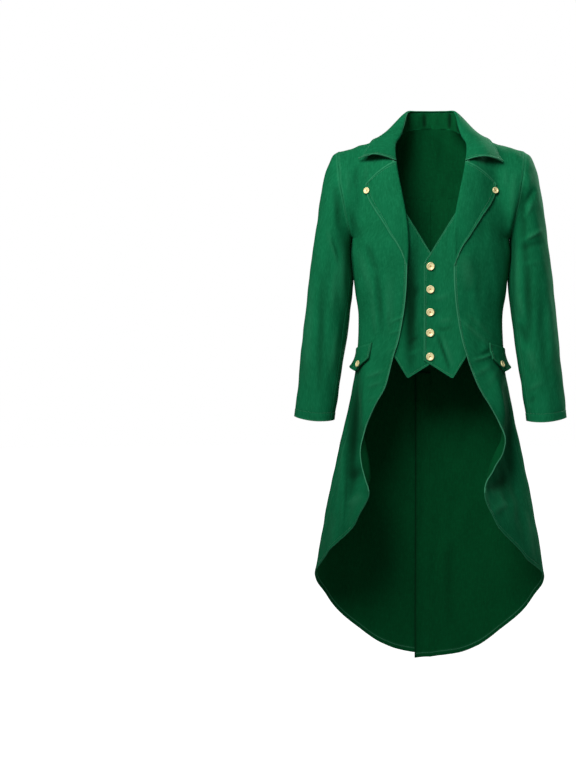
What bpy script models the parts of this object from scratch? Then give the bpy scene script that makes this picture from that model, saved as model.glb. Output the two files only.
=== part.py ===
"""A man's long frock coat with a cutaway front, a rounded tail and a false waistcoat, as it hangs when worn.

Metres, +Z up. The front faces -Y and the wearer's left is +X. The origin lies between the two points where
the shoulder seams meet the neck. Each cloth piece is a wall on one shared form, so that neighbours meet at
their seams.
"""

import math

import bmesh
import bpy
import numpy as np
from mathutils import Vector
from mathutils.bvhtree import BVHTree

# Driving dimensions.
CLOTH = 0.0020  # wall of one panel
LEAF = 0.0030  # wall of a doubled piece: collar, lapel, flap, strap
GAP = 0.0003  # between neighbours at a seam
NECK_HALF = 0.070
NAPE_Y, NAPE_Z = 0.068, 0.015
SHOULDER_HALF = 0.222
SHOULDER_Y, SHOULDER_DROP = 0.010, 0.046
UNDERARM_Z, WAIST_Z = -0.250, -0.430
HALF_CHEST, HALF_WAIST, HALF_HEM = 0.187, 0.172, 0.2775
SIDE_HEM_Z, TAIL_Z = -1.062, -1.289
CUFF_Z = -0.680

# Round the half body s is 0 at the centre back, SIDE_S at the side and 1 at the front edge. Down it t is 0 at
# the neck and shoulder, UNDERARM_T at the underarm and 1 at the hem.
NECK_S, SIDE_S, UNDERARM_T = 0.19, 0.50, 0.25
YOKE_T = 0.103  # where the yoke's seam meets the armhole
SIDE_SEAM_FORWARD = 0.055  # how far the side seam comes round to the front in the skirt
ARMHOLE_DEPTH = (0.068, 0.069)  # back, front
ARMHOLE_REACH = 0.26  # how far round the body the armhole's own curve is felt
SQUARENESS = 0.87  # under 1 makes the sections a little squarer than ellipses
RING_PULL = 1.2  # how strongly the cloth above the underarm comes down upright
SLEEVE_HEAD_V = 0.12  # how far down the sleeve the armhole's own curve is felt

# Sections of the body from the chest down: half the width, the side's and the back's and the front's place in
# depth, and how far the front edge stands from the middle.
SECTIONS = np.array([
    # z, half_width, side_y, back_y, front_y, edge_x
    (UNDERARM_Z, HALF_CHEST, 0.000, 0.108, -0.117, 0.056),
    (-0.340, 0.1800, 0.000, 0.101, -0.112, 0.055),
    (WAIST_Z, HALF_WAIST, 0.000, 0.092, -0.105, 0.063),
    (-0.500, 0.1735, 0.000, 0.098, -0.108, 0.077),
    (-0.560, 0.1780, 0.002, 0.108, -0.113, 0.097),
    (-0.620, 0.1890, 0.006, 0.118, -0.118, 0.122),
    (-0.700, 0.2060, 0.012, 0.132, -0.120, 0.160),
    (-0.800, 0.2290, 0.020, 0.150, -0.122, 0.160),
    (-0.920, 0.2535, 0.030, 0.172, -0.124, 0.160),
    (SIDE_HEM_Z, HALF_HEM, 0.042, 0.194, -0.126, 0.160),
    (-1.180, 0.2890, 0.050, 0.210, -0.126, 0.160),
    (-1.340, 0.2960, 0.056, 0.226, -0.126, 0.160),
])
# The cutaway skirt's front folds: a hollow behind a soft ridge, and an edge that rolls out half way down.
FLUTE_START, FLUTE_FULL = -0.500, -0.600
FLUTES = np.array([
    # z, hollow_x, hollow_y, ridge_x, ridge_y, edge_x, edge_y
    (-0.540, 0.164, -0.049, 0.136, -0.081, 0.088, -0.102),
    (-0.600, 0.171, -0.046, 0.160, -0.086, 0.108, -0.106),
    (-0.660, 0.173, -0.041, 0.170, -0.090, 0.143, -0.109),
    (-0.700, 0.173, -0.038, 0.172, -0.086, 0.161, -0.106),
    (-0.740, 0.172, -0.036, 0.160, -0.080, 0.168, -0.109),
    (-0.780, 0.178, -0.035, 0.146, -0.084, 0.161, -0.118),
    (-0.820, 0.188, -0.037, 0.140, -0.094, 0.142, -0.127),
    (-0.860, 0.201, -0.044, 0.153, -0.104, 0.136, -0.133),
    (-0.900, 0.214, -0.052, 0.168, -0.106, 0.142, -0.135),
    (-0.960, 0.232, -0.056, 0.194, -0.101, 0.160, -0.130),
    (-1.020, 0.248, -0.048, 0.220, -0.090, 0.190, -0.115),
    (-1.080, 0.260, -0.036, 0.240, -0.075, 0.215, -0.100),
])
HEM = np.array([
    # s, z
    (0.000, TAIL_Z), (0.074, -1.2735), (0.120, -1.249), (0.195, -1.201), (0.270, -1.161), (0.360, -1.112),
    (0.450, -1.082), (0.550, -1.049), (0.680, -0.998), (0.840, -0.919), (1.000, -0.845),
])
# The neckline at the back, and the way the cloth leaves it.
NECK_EDGE = np.array([
    # s, x, y, z, down_x, down_y, down_z
    (0.00, 0.000, NAPE_Y, NAPE_Z, 0.00, 0.10, -0.26),
    (0.10, 0.043, 0.057, 0.0115, 0.00, 0.14, -0.20),
    (NECK_S, NECK_HALF, SHOULDER_Y, 0.000, 0.00, 0.20, 0.00),
])
OVER_SHOULDER = 0.20  # how strongly the cloth leaves the shoulder seam, level
ROLL_LEAVES = (0.14, -0.30, -0.05)  # how the roll line leaves the neck
# The sleeve from the armhole to the cuff: its outermost and innermost points and half its depth.
SLEEVE = np.array([
    # v, outer_x, outer_y, outer_z, inner_x, inner_y, inner_z, half_depth
    (0.00, 0.2220, 0.010, -0.046, 0.1870, 0.000, -0.250, 0.0685),
    (0.06, 0.2370, 0.010, -0.056, 0.1905, 0.001, -0.258, 0.0710),
    (0.13, 0.2510, 0.009, -0.090, 0.1930, 0.002, -0.268, 0.0730),
    (0.22, 0.2620, 0.008, -0.140, 0.1920, 0.002, -0.285, 0.0735),
    (0.32, 0.2720, 0.008, -0.205, 0.1890, 0.002, -0.315, 0.0720),
    (0.43, 0.2830, 0.008, -0.285, 0.1855, 0.002, -0.359, 0.0690),
    (0.54, 0.2940, 0.010, -0.372, 0.1905, 0.002, -0.416, 0.0650),
    (0.66, 0.3030, 0.010, -0.455, 0.1980, 0.000, -0.480, 0.0600),
    (0.78, 0.3110, 0.003, -0.535, 0.2080, -0.008, -0.548, 0.0570),
    (0.90, 0.3185, -0.008, -0.613, 0.2190, -0.020, -0.618, 0.0545),
    (1.00, 0.3250, -0.019, CUFF_Z + 0.004, 0.2285, -0.031, CUFF_Z - 0.004, 0.0530),
])
# Where the sleeve's lengthwise lines leave the armhole and reach the cuff, as shares of a turn from the top
# through the back. The armhole's are where the body's rows meet it.
ROUND_SLEEVE = np.array([
    # armhole, cuff
    (0.000, 0.000), (0.0687, 0.070), (0.1373, 0.140), (0.206, 0.205), (0.280, 0.265), (0.350, 0.345),
    (0.425, 0.430), (0.500, 0.515), (0.580, 0.600), (0.670, 0.680), (0.760, 0.760), (0.840, 0.840),
    (0.920, 0.920), (1.000, 1.000),
])
BACK_SEAM, FRONT_SEAM = 4, 8  # rows of that table where the sleeve's two seams run
# The lines that the panels share: places round the half body and shares of the way down.
BACK_COLUMNS = np.array([0.0, 0.05, 0.10, 0.145, 0.19, 0.25, 0.31, 0.37, 0.435, 0.50])
FRONT_COLUMNS = np.array([0.0, 0.09, 0.18, 0.27, 0.35, 0.43, 0.51, 0.60, 0.68, 0.76, 0.84, 0.92, 1.0])
YOKE_ROWS = np.array([0.0, 0.333, 0.667, 1.0])
BACK_ROWS = np.array([YOKE_T, 0.14, 0.175, 0.2125, UNDERARM_T])
FRONT_ROWS = np.array([0.0, 0.04, 0.08, 0.12, 0.165, 0.21, UNDERARM_T])
LOWER_ROWS = np.array([0.30, 0.36, 0.42, 0.48, 0.54, 0.60, 0.655, 0.71, 0.76, 0.81, 0.86, 0.91, 0.955, 1.0])
SLEEVE_ROWS = np.array([0.0, 0.06, 0.13, 0.22, 0.32, 0.43, 0.54, 0.65, 0.76, 0.88, 1.0])
BODY_STEP, SLEEVE_STEP = 0.012, 0.010  # how far apart the points are that give a surface its slope
SEAM_UP = np.array([0.33, 0.0, 0.944])  # outwards, all along the shoulder seam and over the sleeve's head
YOKE_DROP = np.array([
    # s, z of the yoke's seam
    (0.00, -0.160), (0.10, -0.150), (0.20, -0.138), (0.30, -0.128), (0.40, -0.120), (SIDE_S, -0.117),
])

# The collar from the centre back (0) to the gorge (1): the line of its fold and its outer edge.
COLLAR = np.array([
    # c, fold_x, fold_y, fold_z, edge_x, edge_y, edge_z
    (0.00, 0.0000, 0.0600, 0.0510, 0.000, 0.086, 0.024),
    (0.15, 0.0340, 0.0550, 0.0510, 0.045, 0.084, 0.021),
    (0.30, 0.0560, 0.0370, 0.0495, 0.085, 0.066, 0.010),
    (0.42, 0.0630, 0.0150, 0.0380, 0.115, 0.035, -0.008),
    (0.55, 0.0680, -0.0080, 0.0160, 0.1365, -0.003, -0.018),
    (0.66, 0.0745, -0.0260, -0.0040, 0.149, -0.031, -0.029),
    (0.80, 0.0840, -0.0480, -0.0300, 0.160, -0.055, -0.044),
    (1.00, 0.0880, -0.0780, -0.0690, 0.169, -0.082, -0.060),
])
COLLAR_ON_EDGE = 0.80  # from here forward the fold wraps the front's own edge
COLLAR_PRESSED = 0.35  # from here forward the fall's edge lies on the shoulder
FALL_SHARES = (0.06, 0.22, 0.42, 0.62, 0.81, 1.0)  # rows from the fold to the fall's edge
GORGE_BOW = 0.010
NECK_C, STAND_END = 0.50, 0.66  # where the stand passes the shoulder seam, and where it ends
LAPEL = np.array([
    # share down, roll_z, edge_x, edge_z
    (0.00, -0.0725, 0.1520, -0.1240),
    (0.10, -0.0980, 0.1510, -0.1390),
    (0.25, -0.1370, 0.1400, -0.1660),
    (0.45, -0.1850, 0.1160, -0.2040),
    (0.65, -0.2320, 0.0925, -0.2420),
    (0.85, -0.2750, 0.0710, -0.2800),
    (1.00, -0.3050, 0.0590, -0.3060),
])
LAPEL_SHARES = (0.10, 0.26, 0.44, 0.62, 0.81, 1.0)  # lines from the roll to the lapel's edge
LAPEL_TOP_BOW = 0.004
# The false waistcoat inside the fronts: the left one is outside and reaches past the middle.
WAISTCOAT_OUTER = 0.095
WAISTCOAT = {"left": (-0.015, 0.0030), "right": (-0.012, 0.0062)}  # inner edge's x, depth inside the coat
V_Z, V_RISE = -0.285, 1.615
NOTCH_Z, POINT_X, POINT_Z, POINT_RISE = -0.548, 0.053, -0.581, 1.63
BUTTON_Z = (-0.317, -0.371, -0.425, -0.474, -0.530)
FLAP_FRONT_S, FLAP_BACK_S = 0.80, 0.42
FLAP_FRONT_Z, FLAP_BACK_Z = -0.498, -0.521
FLAP_DEPTH, FLAP_POINT_DEPTH = 0.038, 0.062
FLAP_STAND_OUT = 0.012
STRAP_HALF, STRAP_HEIGHT, STRAP_POINT, STRAP_Z, STRAP_SAG = 0.078, 0.030, 0.008, -0.426, 0.011
STRAP_SHARES = (-1, -0.9, -0.72, -0.5, -0.25, 0, 0.25, 0.5, 0.72, 0.9, 1)  # columns along the strap
PLACKET_W, PLACKET_V = (0.175, 0.262), (0.795, 0.997)
PLACKET_BUTTON_V = (0.865, 0.925, 0.975)
UNDERLAP_IN, UNDERLAP_OUT, VENT_Z, UNDERLAP_LONGER = 0.006, 0.037, -0.600, 0.006
BUTTON = {"lapel": 0.0155, "front": 0.019, "flap": 0.016, "belt": 0.017, "cuff": 0.015}  # diameters
BUTTON_THICK = 0.0042
BUTTON_FOOT = 0.86  # the foot and the rim's crest, as shares of the radius
BUTTON_PROFILE = np.array([
    # share of the radius, share of the thickness
    (0.00, 0.00), (BUTTON_FOOT, 0.00), (1.00, 0.55), (BUTTON_FOOT, 1.00), (0.68, 0.72), (0.00, 0.62),
])
# Where the buttons that lie off the middle are: beside the lapel's point, on the flap and on the strap.
LAPEL_BUTTON, FLAP_BUTTON, BELT_BUTTON = (0.150, -0.1395), (-0.048, -0.549), (0.066, -0.429)
LIE = 0.0007  # clearance of a piece that lies on another
STAND_END_T = 0.03  # how far down the front's edge the stand ends
FORWARD = np.array([0.0, -1.0, 0.0])
WRAP = (115, 70, 25)  # degrees round the edge that a fold wraps, from the cloth's outer side

# Colours as sRGB, roughness and metallic.
GREEN, GREEN_DARK, CREAM = (0x1D, 0x6B, 0x48), (0x14, 0x52, 0x36), (0xE2, 0xD1, 0x90)


def through(rows, at):
    """A table's columns at any places along its first column, on a smooth curve through its rows."""
    rows = rows[np.argsort(rows[:, 0])]
    x, y = rows[:, 0], rows[:, 1:]
    step = np.diff(x)[:, None]
    rise = np.diff(y, axis=0) / step
    middle = (rise[:-1] * step[1:] + rise[1:] * step[:-1]) / (step[1:] + step[:-1])
    slope = np.vstack([rise[:1], middle, rise[-1:]])
    at = np.clip(np.asarray(at, float), x[0], x[-1])
    i = np.clip(np.searchsorted(x, at, side="right") - 1, 0, len(x) - 2)
    h = step[i]
    u = ((at - x[i]) / h[..., 0])[..., None]
    return hermite(u, y[i], y[i + 1], slope[i] * h, slope[i + 1] * h)


def hermite(u, start, end, leave, arrive):
    """The point at share u of a curve from start to end with those tangents."""
    return (
        (1 + 2 * u) * (1 - u) ** 2 * start
        + u**2 * (3 - 2 * u) * end
        + u * (1 - u) ** 2 * leave
        - u**2 * (1 - u) * arrive
    )


def eased(x):
    x = np.clip(x, 0, 1)
    return x * x * (3 - 2 * x)


def signed_power(x, p):
    return np.sign(x) * np.abs(x) ** p


def oval(half, side_y, depth_y, angle):
    """A point on a squared quarter oval: angle 0 is at the middle and a quarter turn is at the side."""
    x = half * signed_power(np.sin(angle), SQUARENESS)
    y = side_y + (depth_y - side_y) * signed_power(np.cos(angle), SQUARENESS)
    return np.stack([x, y], axis=-1)


def fluted(s, half, side_y, z):
    """The front quarter of a skirt section, through the side, the hollow, the ridge and the edge."""
    flute = through(FLUTES, z)
    side = np.stack([half, side_y], axis=-1)
    hollow, ridge, edge = flute[..., 0:2], flute[..., 2:4], flute[..., 4:6]
    ahead = np.stack([0 * half, -np.linalg.norm(hollow - side, axis=-1)], axis=-1)
    tangents = [ahead, (ridge - side) / 2, (edge - hollow) / 2, edge - ridge]
    points = [side, hollow, ridge, edge]
    u = (s - SIDE_S) / (1 - SIDE_S) * 3
    made = np.zeros(side.shape)
    for k in range(3):
        here = (u >= k) & ((u < k + 1) | (k == 2)) if k else u < 1
        part = hermite((u - k)[..., None], points[k], points[k + 1], tangents[k], tangents[k + 1])
        made = np.where(here[..., None], part, made)
    return made


def section(s, z):
    """The body's outline at a height: x and y at place s round the half body."""
    s, z = np.broadcast_arrays(np.asarray(s, float), np.asarray(z, float))
    half, side_y, back_y, front_y, edge_x = np.moveaxis(through(SECTIONS, z), -1, 0)
    back = oval(half, side_y, back_y, np.pi * s)
    last = np.arcsin((edge_x / half) ** (1 / SQUARENESS))
    angle = np.pi / 2 - (s - SIDE_S) / (1 - SIDE_S) * (np.pi / 2 - last)
    plain = oval(half, side_y, front_y, angle)
    share = eased((z - FLUTE_START) / (FLUTE_FULL - FLUTE_START))[..., None]
    front = plain * (1 - share) + fluted(s, half, side_y, z) * share
    return np.where((s <= SIDE_S)[..., None], back, front)


def armhole(turn):
    """The armhole's loop: turn 0 at the shoulder point, 0.25 at the back, 0.5 underarm, 0.75 at the front."""
    angle = 2 * np.pi * np.asarray(turn, float)
    down = (1 - np.cos(angle)) / 2
    depth = np.where(np.sin(angle) > 0, *ARMHOLE_DEPTH)
    x = SHOULDER_HALF + (HALF_CHEST - SHOULDER_HALF) * down**1.5
    y = SHOULDER_Y * (1 - down) + depth * np.sin(angle)
    z = -SHOULDER_DROP + (UNDERARM_Z + SHOULDER_DROP) * down
    return np.stack([x, y, z], axis=-1)


def top_edge(s):
    """Where the panels end at the top, and how the cloth leaves, for places s round the half body."""
    s = np.asarray(s, float)[..., None]
    neck = through(NECK_EDGE, s[..., 0])
    neck_point, tip = np.array([NECK_HALF, SHOULDER_Y, 0.0]), armhole(0.0)
    share = np.where(s > SIDE_S, (1 - s) / (1 - SIDE_S), (s - NECK_S) / (SIDE_S - NECK_S))
    back, front = np.array([0.0, OVER_SHOULDER, 0.0]), np.array([0.0, -OVER_SHOULDER, 0.0])
    blend = eased(2 * share)
    point = neck_point + (tip - neck_point) * share
    leaves = np.where(s > SIDE_S, front * blend + np.array(ROLL_LEAVES) * (1 - blend), back)
    point = np.where(s < NECK_S, neck[..., :3], point)
    return point, np.where(s < NECK_S, neck[..., 3:], leaves)


def ring(s):
    """The body's outline at the underarm, and how the cloth passes it on the way down."""
    step = 0.01
    here, below = section(s, UNDERARM_Z), section(s, UNDERARM_Z - step)
    point = np.concatenate([here, np.full(here.shape[:-1] + (1,), UNDERARM_Z)], axis=-1)
    down = np.concatenate([(below - here) / step, -np.ones(here.shape[:-1] + (1,))], axis=-1)
    return point, down


def yoked(s, u):
    """The upper body's surface before the armhole is felt: u from the top edge to the underarm."""
    point, leaves = top_edge(s)
    end, down = ring(s)
    return hermite(u[..., None], point, end, leaves, down * RING_PULL * (point - end)[..., 2:])


def body(s, t):
    """The coat's outer surface: s round the half body from the centre back, t from the top to the hem."""
    s, t = np.broadcast_arrays(np.asarray(s, float), np.asarray(t, float))
    side = np.where(s < 0, -1.0, 1.0)
    s = np.abs(s)
    z = UNDERARM_Z + (through(HEM, s)[..., 0] - UNDERARM_Z) * (t - UNDERARM_T) / (1 - UNDERARM_T)
    low = np.concatenate([section(s, z), z[..., None]], axis=-1)
    u = np.clip(t / UNDERARM_T, 0, 1)
    at_side = np.where(s > SIDE_S, SIDE_S + 1e-9, SIDE_S)
    hole = armhole(np.where(s > SIDE_S, 1 - u / 2, u / 2))
    felt = eased(1 - np.abs(s - SIDE_S) / ARMHOLE_REACH)[..., None]
    high = yoked(s, u) + felt * (hole - yoked(at_side, u))
    made = np.where((t < UNDERARM_T)[..., None], high, low)
    made[..., 0] *= side
    return made


def side_seam(t):
    """Where the side seam runs: down the side, and a little to the front in the skirt."""
    return SIDE_S + SIDE_SEAM_FORWARD * eased((t - UNDERARM_T) / 0.3)


def sleeve(w, v):
    """The sleeve's outer surface: w round it from the top through the back, v down it from the armhole."""
    w, v = np.broadcast_arrays(np.asarray(w, float), np.asarray(v, float))

    def plain(v):
        row = through(SLEEVE, v)
        middle, reach = (row[..., 0:3] + row[..., 3:6]) / 2, (row[..., 0:3] - row[..., 3:6]) / 2
        made = middle + reach * np.cos(2 * np.pi * w)[..., None]
        made[..., 1] += row[..., 6] * np.sin(2 * np.pi * w)
        return made

    return plain(v) + eased(1 - v / SLEEVE_HEAD_V)[..., None] * (armhole(w) - plain(0 * v))


def t_at(s, z):
    """The row t at which the body's surface reaches height z, for each place s."""
    low, high = np.zeros(np.shape(s)), np.ones(np.shape(s))
    for _ in range(30):
        middle = (low + high) / 2
        above = body(s, middle)[..., 2] > z
        low, high = np.where(above, middle, low), np.where(above, high, middle)
    return (low + high) / 2


def finish(obj, colour, roughness):
    """Its own Principled material, and a place in the coat's collection."""
    material = bpy.data.materials.new(obj.name)
    material.use_nodes = True
    shader = material.node_tree.nodes["Principled BSDF"]
    linear = [(c / 255 / 12.92) if c <= 10 else ((c / 255 + 0.055) / 1.055) ** 2.4 for c in colour]
    shader.inputs["Base Color"].default_value = (*linear, 1)
    shader.inputs["Roughness"].default_value = roughness
    shader.inputs["Metallic"].default_value = 0.0
    obj.data.materials.append(material)
    coat.objects.link(obj)
    return obj


def wall(name, outer, inner, colour=GREEN):
    """A closed wall between two surfaces, each given as rows and columns of points."""
    rows, columns = outer.shape[:2]
    bm = bmesh.new()
    bmesh.ops.create_grid(bm, x_segments=columns - 1, y_segments=rows - 1, size=1)
    place = bm.verts.layers.int.new("place")
    for vert in bm.verts:
        column = round((vert.co.x + 1) / 2 * (columns - 1))
        row = round((1 - vert.co.y) / 2 * (rows - 1))
        vert[place] = row * columns + column
        vert.co = outer[row, column]
    extruded = bmesh.ops.extrude_face_region(bm, geom=bm.faces[:], use_keep_orig=True)
    for vert in extruded["geom"]:
        if isinstance(vert, bmesh.types.BMVert):
            vert.co = inner.reshape(-1, 3)[vert[place]]
    bmesh.ops.recalc_face_normals(bm, faces=bm.faces[:])
    if bm.calc_volume(signed=True) < 0:
        bmesh.ops.reverse_faces(bm, faces=bm.faces[:])
    mesh = bpy.data.meshes.new(name)
    bm.to_mesh(mesh)
    bm.free()
    return finish(bpy.data.objects.new(name, mesh), colour, 0.85)


def unit(v):
    return v / np.maximum(np.linalg.norm(v, axis=-1, keepdims=True), 1e-12)


def mirrored(points, side):
    """The points on the side given, 1 for the left or -1 for the right, or one side for each point."""
    moved = points.copy()
    moved[..., 0] *= side
    return moved


def body_own(s, t):
    """The outward unit normals of the body's surface."""
    step = BODY_STEP
    across = body(s + np.where(s > 1 - step, 0, step), t) - body(s - step, t)
    down = body(s, t + step) - body(s, np.maximum(t - step, 0))
    return unit(np.cross(across, down))


def sleeve_own(w, v):
    """The outward unit normals of the sleeve's surface."""
    step = SLEEVE_STEP
    across = sleeve(w + step, v) - sleeve(w - step, v)
    down = sleeve(w, v + step) - sleeve(w, np.maximum(v - step, 0))
    return unit(np.cross(down, across))


def round_armhole(turn):
    """The way outwards that body and sleeve share along the armhole's seam, and how fully they share it."""
    turn = turn % 1.0
    after = turn > 0.5
    s = np.where(after, SIDE_S + 1e-6, SIDE_S - 1e-6)
    t = UNDERARM_T * 2 * np.minimum(turn, 1 - turn)
    of_body, of_sleeve = body_own(s, t), sleeve_own(turn, 0 * t)
    head = eased(1 - 5 * np.minimum(turn, 1 - turn))
    share = np.maximum(head, eased(2 * (of_body * of_sleeve).sum(-1)))
    head = head[..., None]
    return unit(unit(of_body + of_sleeve) * (1 - head) + SEAM_UP * head), share


def body_normals(s, t):
    """The outward directions of the body's wall, the same for both pieces along each seam."""
    s, t = np.broadcast_arrays(s, t)
    side = np.where(s < 0, -1.0, 1.0)
    s = np.abs(s)
    turn = np.clip(0.5 * t / UNDERARM_T, 0, 0.5)
    shared, share = round_armhole(np.where(s > SIDE_S, 1 - turn, turn))
    near_hole = eased(1 - np.abs(s - SIDE_S) / 0.08) * (t < UNDERARM_T)
    made = body_own(s, t)
    weight = (share * near_hole)[..., None]
    made = unit(made * (1 - weight) + shared * weight)
    weight = (eased(1 - (NECK_S - s) / 0.06) * eased(1 - t / 0.04))[..., None]
    made = unit(made * (1 - weight) + SEAM_UP * weight)
    made[..., 0] *= side
    return made


def sleeve_normals(w, v):
    """The outward directions of the sleeve's wall, the body's where the two meet."""
    shared, share = round_armhole(w)
    share = (share * eased(1 - v / 0.05))[..., None]
    return unit(sleeve_own(w, v) * (1 - share) + shared * share)


def seam_gaps(points, normals):
    """The points with the edges of their sheet drawn in by half a seam's gap."""
    moved = points.copy()
    for axis, first, inward in ((0, 0, 1), (0, -1, -1), (1, 0, 1), (1, -1, -1)):
        edge = np.take(points, first, axis)
        towards = np.take(points, first + inward, axis) - edge
        along = np.gradient(edge, axis=0)
        square = unit(np.cross(along, np.take(normals, first, axis)))
        square *= np.sign((square * towards).sum(-1, keepdims=True))
        if axis == 0:
            moved[first] += square * GAP / 2
        else:
            moved[:, first] += square * GAP / 2
    return moved


def panel(name, points, normals, side=1.0, thick=CLOTH):
    outer = seam_gaps(points, normals)
    outsides[name] = mirrored(outer, side)
    return wall(name, mirrored(outer, side), mirrored(outer - normals * thick, side))


def s_at(x, z):
    """The place round the back of the body that lies x to the side at height z."""
    half = through(SECTIONS, z)[..., 0]
    return np.sign(x) * np.arcsin((np.abs(x) / half) ** (1 / SQUARENESS)) / np.pi


def grid_normals(points, towards):
    """The unit normals of a sheet of points, on the side that a direction gives."""
    n = unit(np.cross(np.gradient(points, axis=0), np.gradient(points, axis=1)))
    return n * np.sign((n * towards).sum())


def yoke_seam(s):
    """How far down the yoke's seam lies."""
    return np.where(np.abs(s) < SIDE_S - 1e-6, t_at(s, through(YOKE_DROP, np.abs(s))[..., 0]), YOKE_T)


def make_yoke():
    s = np.concatenate([-BACK_COLUMNS[:0:-1], BACK_COLUMNS])[None, :] + 0 * YOKE_ROWS[:, None]
    t = yoke_seam(s) * YOKE_ROWS[:, None]
    panel("yoke", body(s, t), body_normals(s, t))


def make_body(side_name, side):
    lower = LOWER_ROWS[:, None]
    share = (BACK_ROWS[:, None] - YOKE_T) / (UNDERARM_T - YOKE_T)
    s = BACK_COLUMNS[None, :]
    top = yoke_seam(s)
    t = np.concatenate([top + (UNDERARM_T - top) * share, lower + 0 * s])
    s = s / SIDE_S * side_seam(t)
    panel(f"back_{side_name}", body(s, t), body_normals(s, t), side)
    t = np.concatenate([FRONT_ROWS, LOWER_ROWS])[:, None] + 0 * FRONT_COLUMNS[None, :]
    seam = np.maximum(side_seam(t), SIDE_S + 1e-6)
    s = seam + (1 - seam) * FRONT_COLUMNS[None, :]
    panel(f"front_{side_name}", body(s, t), body_normals(s, t), side)


def make_sleeve(side_name, side):
    top = np.concatenate([ROUND_SLEEVE[FRONT_SEAM:-1] - 1, ROUND_SLEEVE[: BACK_SEAM + 1]])
    under = ROUND_SLEEVE[BACK_SEAM : FRONT_SEAM + 1]
    v = SLEEVE_ROWS[:, None]
    for name, lines in (("sleeve_top", top), ("sleeve_under", under)):
        w = lines[None, :, 0] + (lines[:, 1] - lines[:, 0])[None, :] * eased(v / 0.6)
        panel(f"{name}_{side_name}", sleeve(w, v + 0 * w), sleeve_normals(w, v + 0 * w), side)


def tree_of(*names):
    """A search tree over the outer sheets of some pieces."""
    points, quads, count = [], [], 0
    for name in names:
        rows, columns = outsides[name].shape[:2]
        index = np.arange(rows * columns).reshape(rows, columns) + count
        corners = [index[:-1, :-1], index[1:, :-1], index[1:, 1:], index[:-1, 1:]]
        quads += np.stack(corners, axis=-1).reshape(-1, 4).tolist()
        points += outsides[name].reshape(-1, 3).tolist()
        count = len(points)
    return BVHTree.FromPolygons(points, quads)


def cast(tree, origins, direction):
    """Where parallel rays meet a sheet, or its nearest points to them, and the normals that face them."""
    points, normals = np.zeros(origins.shape), np.zeros(origins.shape)
    direction = Vector(direction)
    for at in np.ndindex(origins.shape[:-1]):
        hit, normal, _, _ = tree.ray_cast(Vector(origins[at]) - direction, direction)
        if hit is None:
            hit, normal, _, _ = tree.find_nearest(Vector(origins[at]))
        points[at] = hit
        normals[at] = normal * (-1 if normal.dot(direction) > 0 else 1)
    return points, normals


def height_over(tree, point, out):
    """How far a point is outside a sheet, and the sheet's normal near it."""
    near, normal, _, _ = tree.find_nearest(point)
    if normal.dot(Vector(out)) < 0:
        normal = -normal
    return (point - near).dot(normal), normal


def clear_of(tree, points, out, clearance, press):
    """The points moved out to clear a sheet; where press is 1 they are brought down on to it too."""
    moved = points.copy()
    for at in np.ndindex(points.shape[:2]):
        height, normal = height_over(tree, Vector(points[at]), out[at])
        wanted = max(clearance, height + (clearance - height) * press[at])
        moved[at] = Vector(points[at]) + normal * (wanted - height)
    return moved


def settled(tree, sheet, out, rounds=4):
    """The sheet's points moved out until its faces, and not only its points, clear what it lies on."""
    moved = sheet.copy()
    shares = (0.0, 0.25, 0.5, 0.75, 1.0)
    for _ in range(rounds):
        raise_by = np.zeros(sheet.shape[:2])
        for row, column in np.ndindex(sheet.shape[0] - 1, sheet.shape[1] - 1):
            corners = moved[row : row + 2, column : column + 2]
            short = 0.0
            for a in shares:
                for b in shares:
                    point = (corners[0, 0] * (1 - b) + corners[0, 1] * b) * (1 - a)
                    point = point + (corners[1, 0] * (1 - b) + corners[1, 1] * b) * a
                    height, _ = height_over(tree, Vector(point), out[row, column])
                    short = max(short, 2 * GAP - height)
            cell = raise_by[row : row + 2, column : column + 2]
            np.maximum(cell, short, out=cell)
        moved += out * raise_by[..., None]
    return moved


def leaf(name, inner, towards, side=1.0, thick=LEAF):
    """A doubled piece whose inner side is given."""
    outer = inner + grid_normals(inner, towards) * thick
    outsides[name] = mirrored(outer, side)
    return wall(name, mirrored(outer, side), mirrored(inner, side))


def both_sides(table, columns):
    """A table's columns from -1 to 1 of its first one: x changes sign across the middle."""
    made = through(table, np.abs(columns))
    made[..., 0::3] *= np.where(columns < 0, -1.0, 1.0)[..., None]
    return made


def front_edge(t):
    """The middle of the front panel's edge thickness, the way out of the cloth, and the way off the edge."""
    one = np.ones(t.shape)
    edge, out = body(one, t), body_normals(one, t)
    off = edge - body(one - 0.02, t)
    off = unit(off - out * (off * out).sum(-1, keepdims=True))
    return edge - out * CLOTH / 2, out, off


def collar_lines(c):
    """The collar's fold, its outer edge, and the front's row beside each place along it."""
    row = both_sides(COLLAR, c)
    fold, edge = row[:, :3], row[:, 3:]
    t = t_at(np.ones(c.shape), np.minimum(fold[:, 2], -0.001))
    on_edge, _, _ = front_edge(t)
    on_edge[:, 0] *= np.sign(c)
    share = eased((np.abs(c) - STAND_END) / (COLLAR_ON_EDGE - STAND_END))[:, None]
    return fold * (1 - share) + on_edge * share, edge


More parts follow.
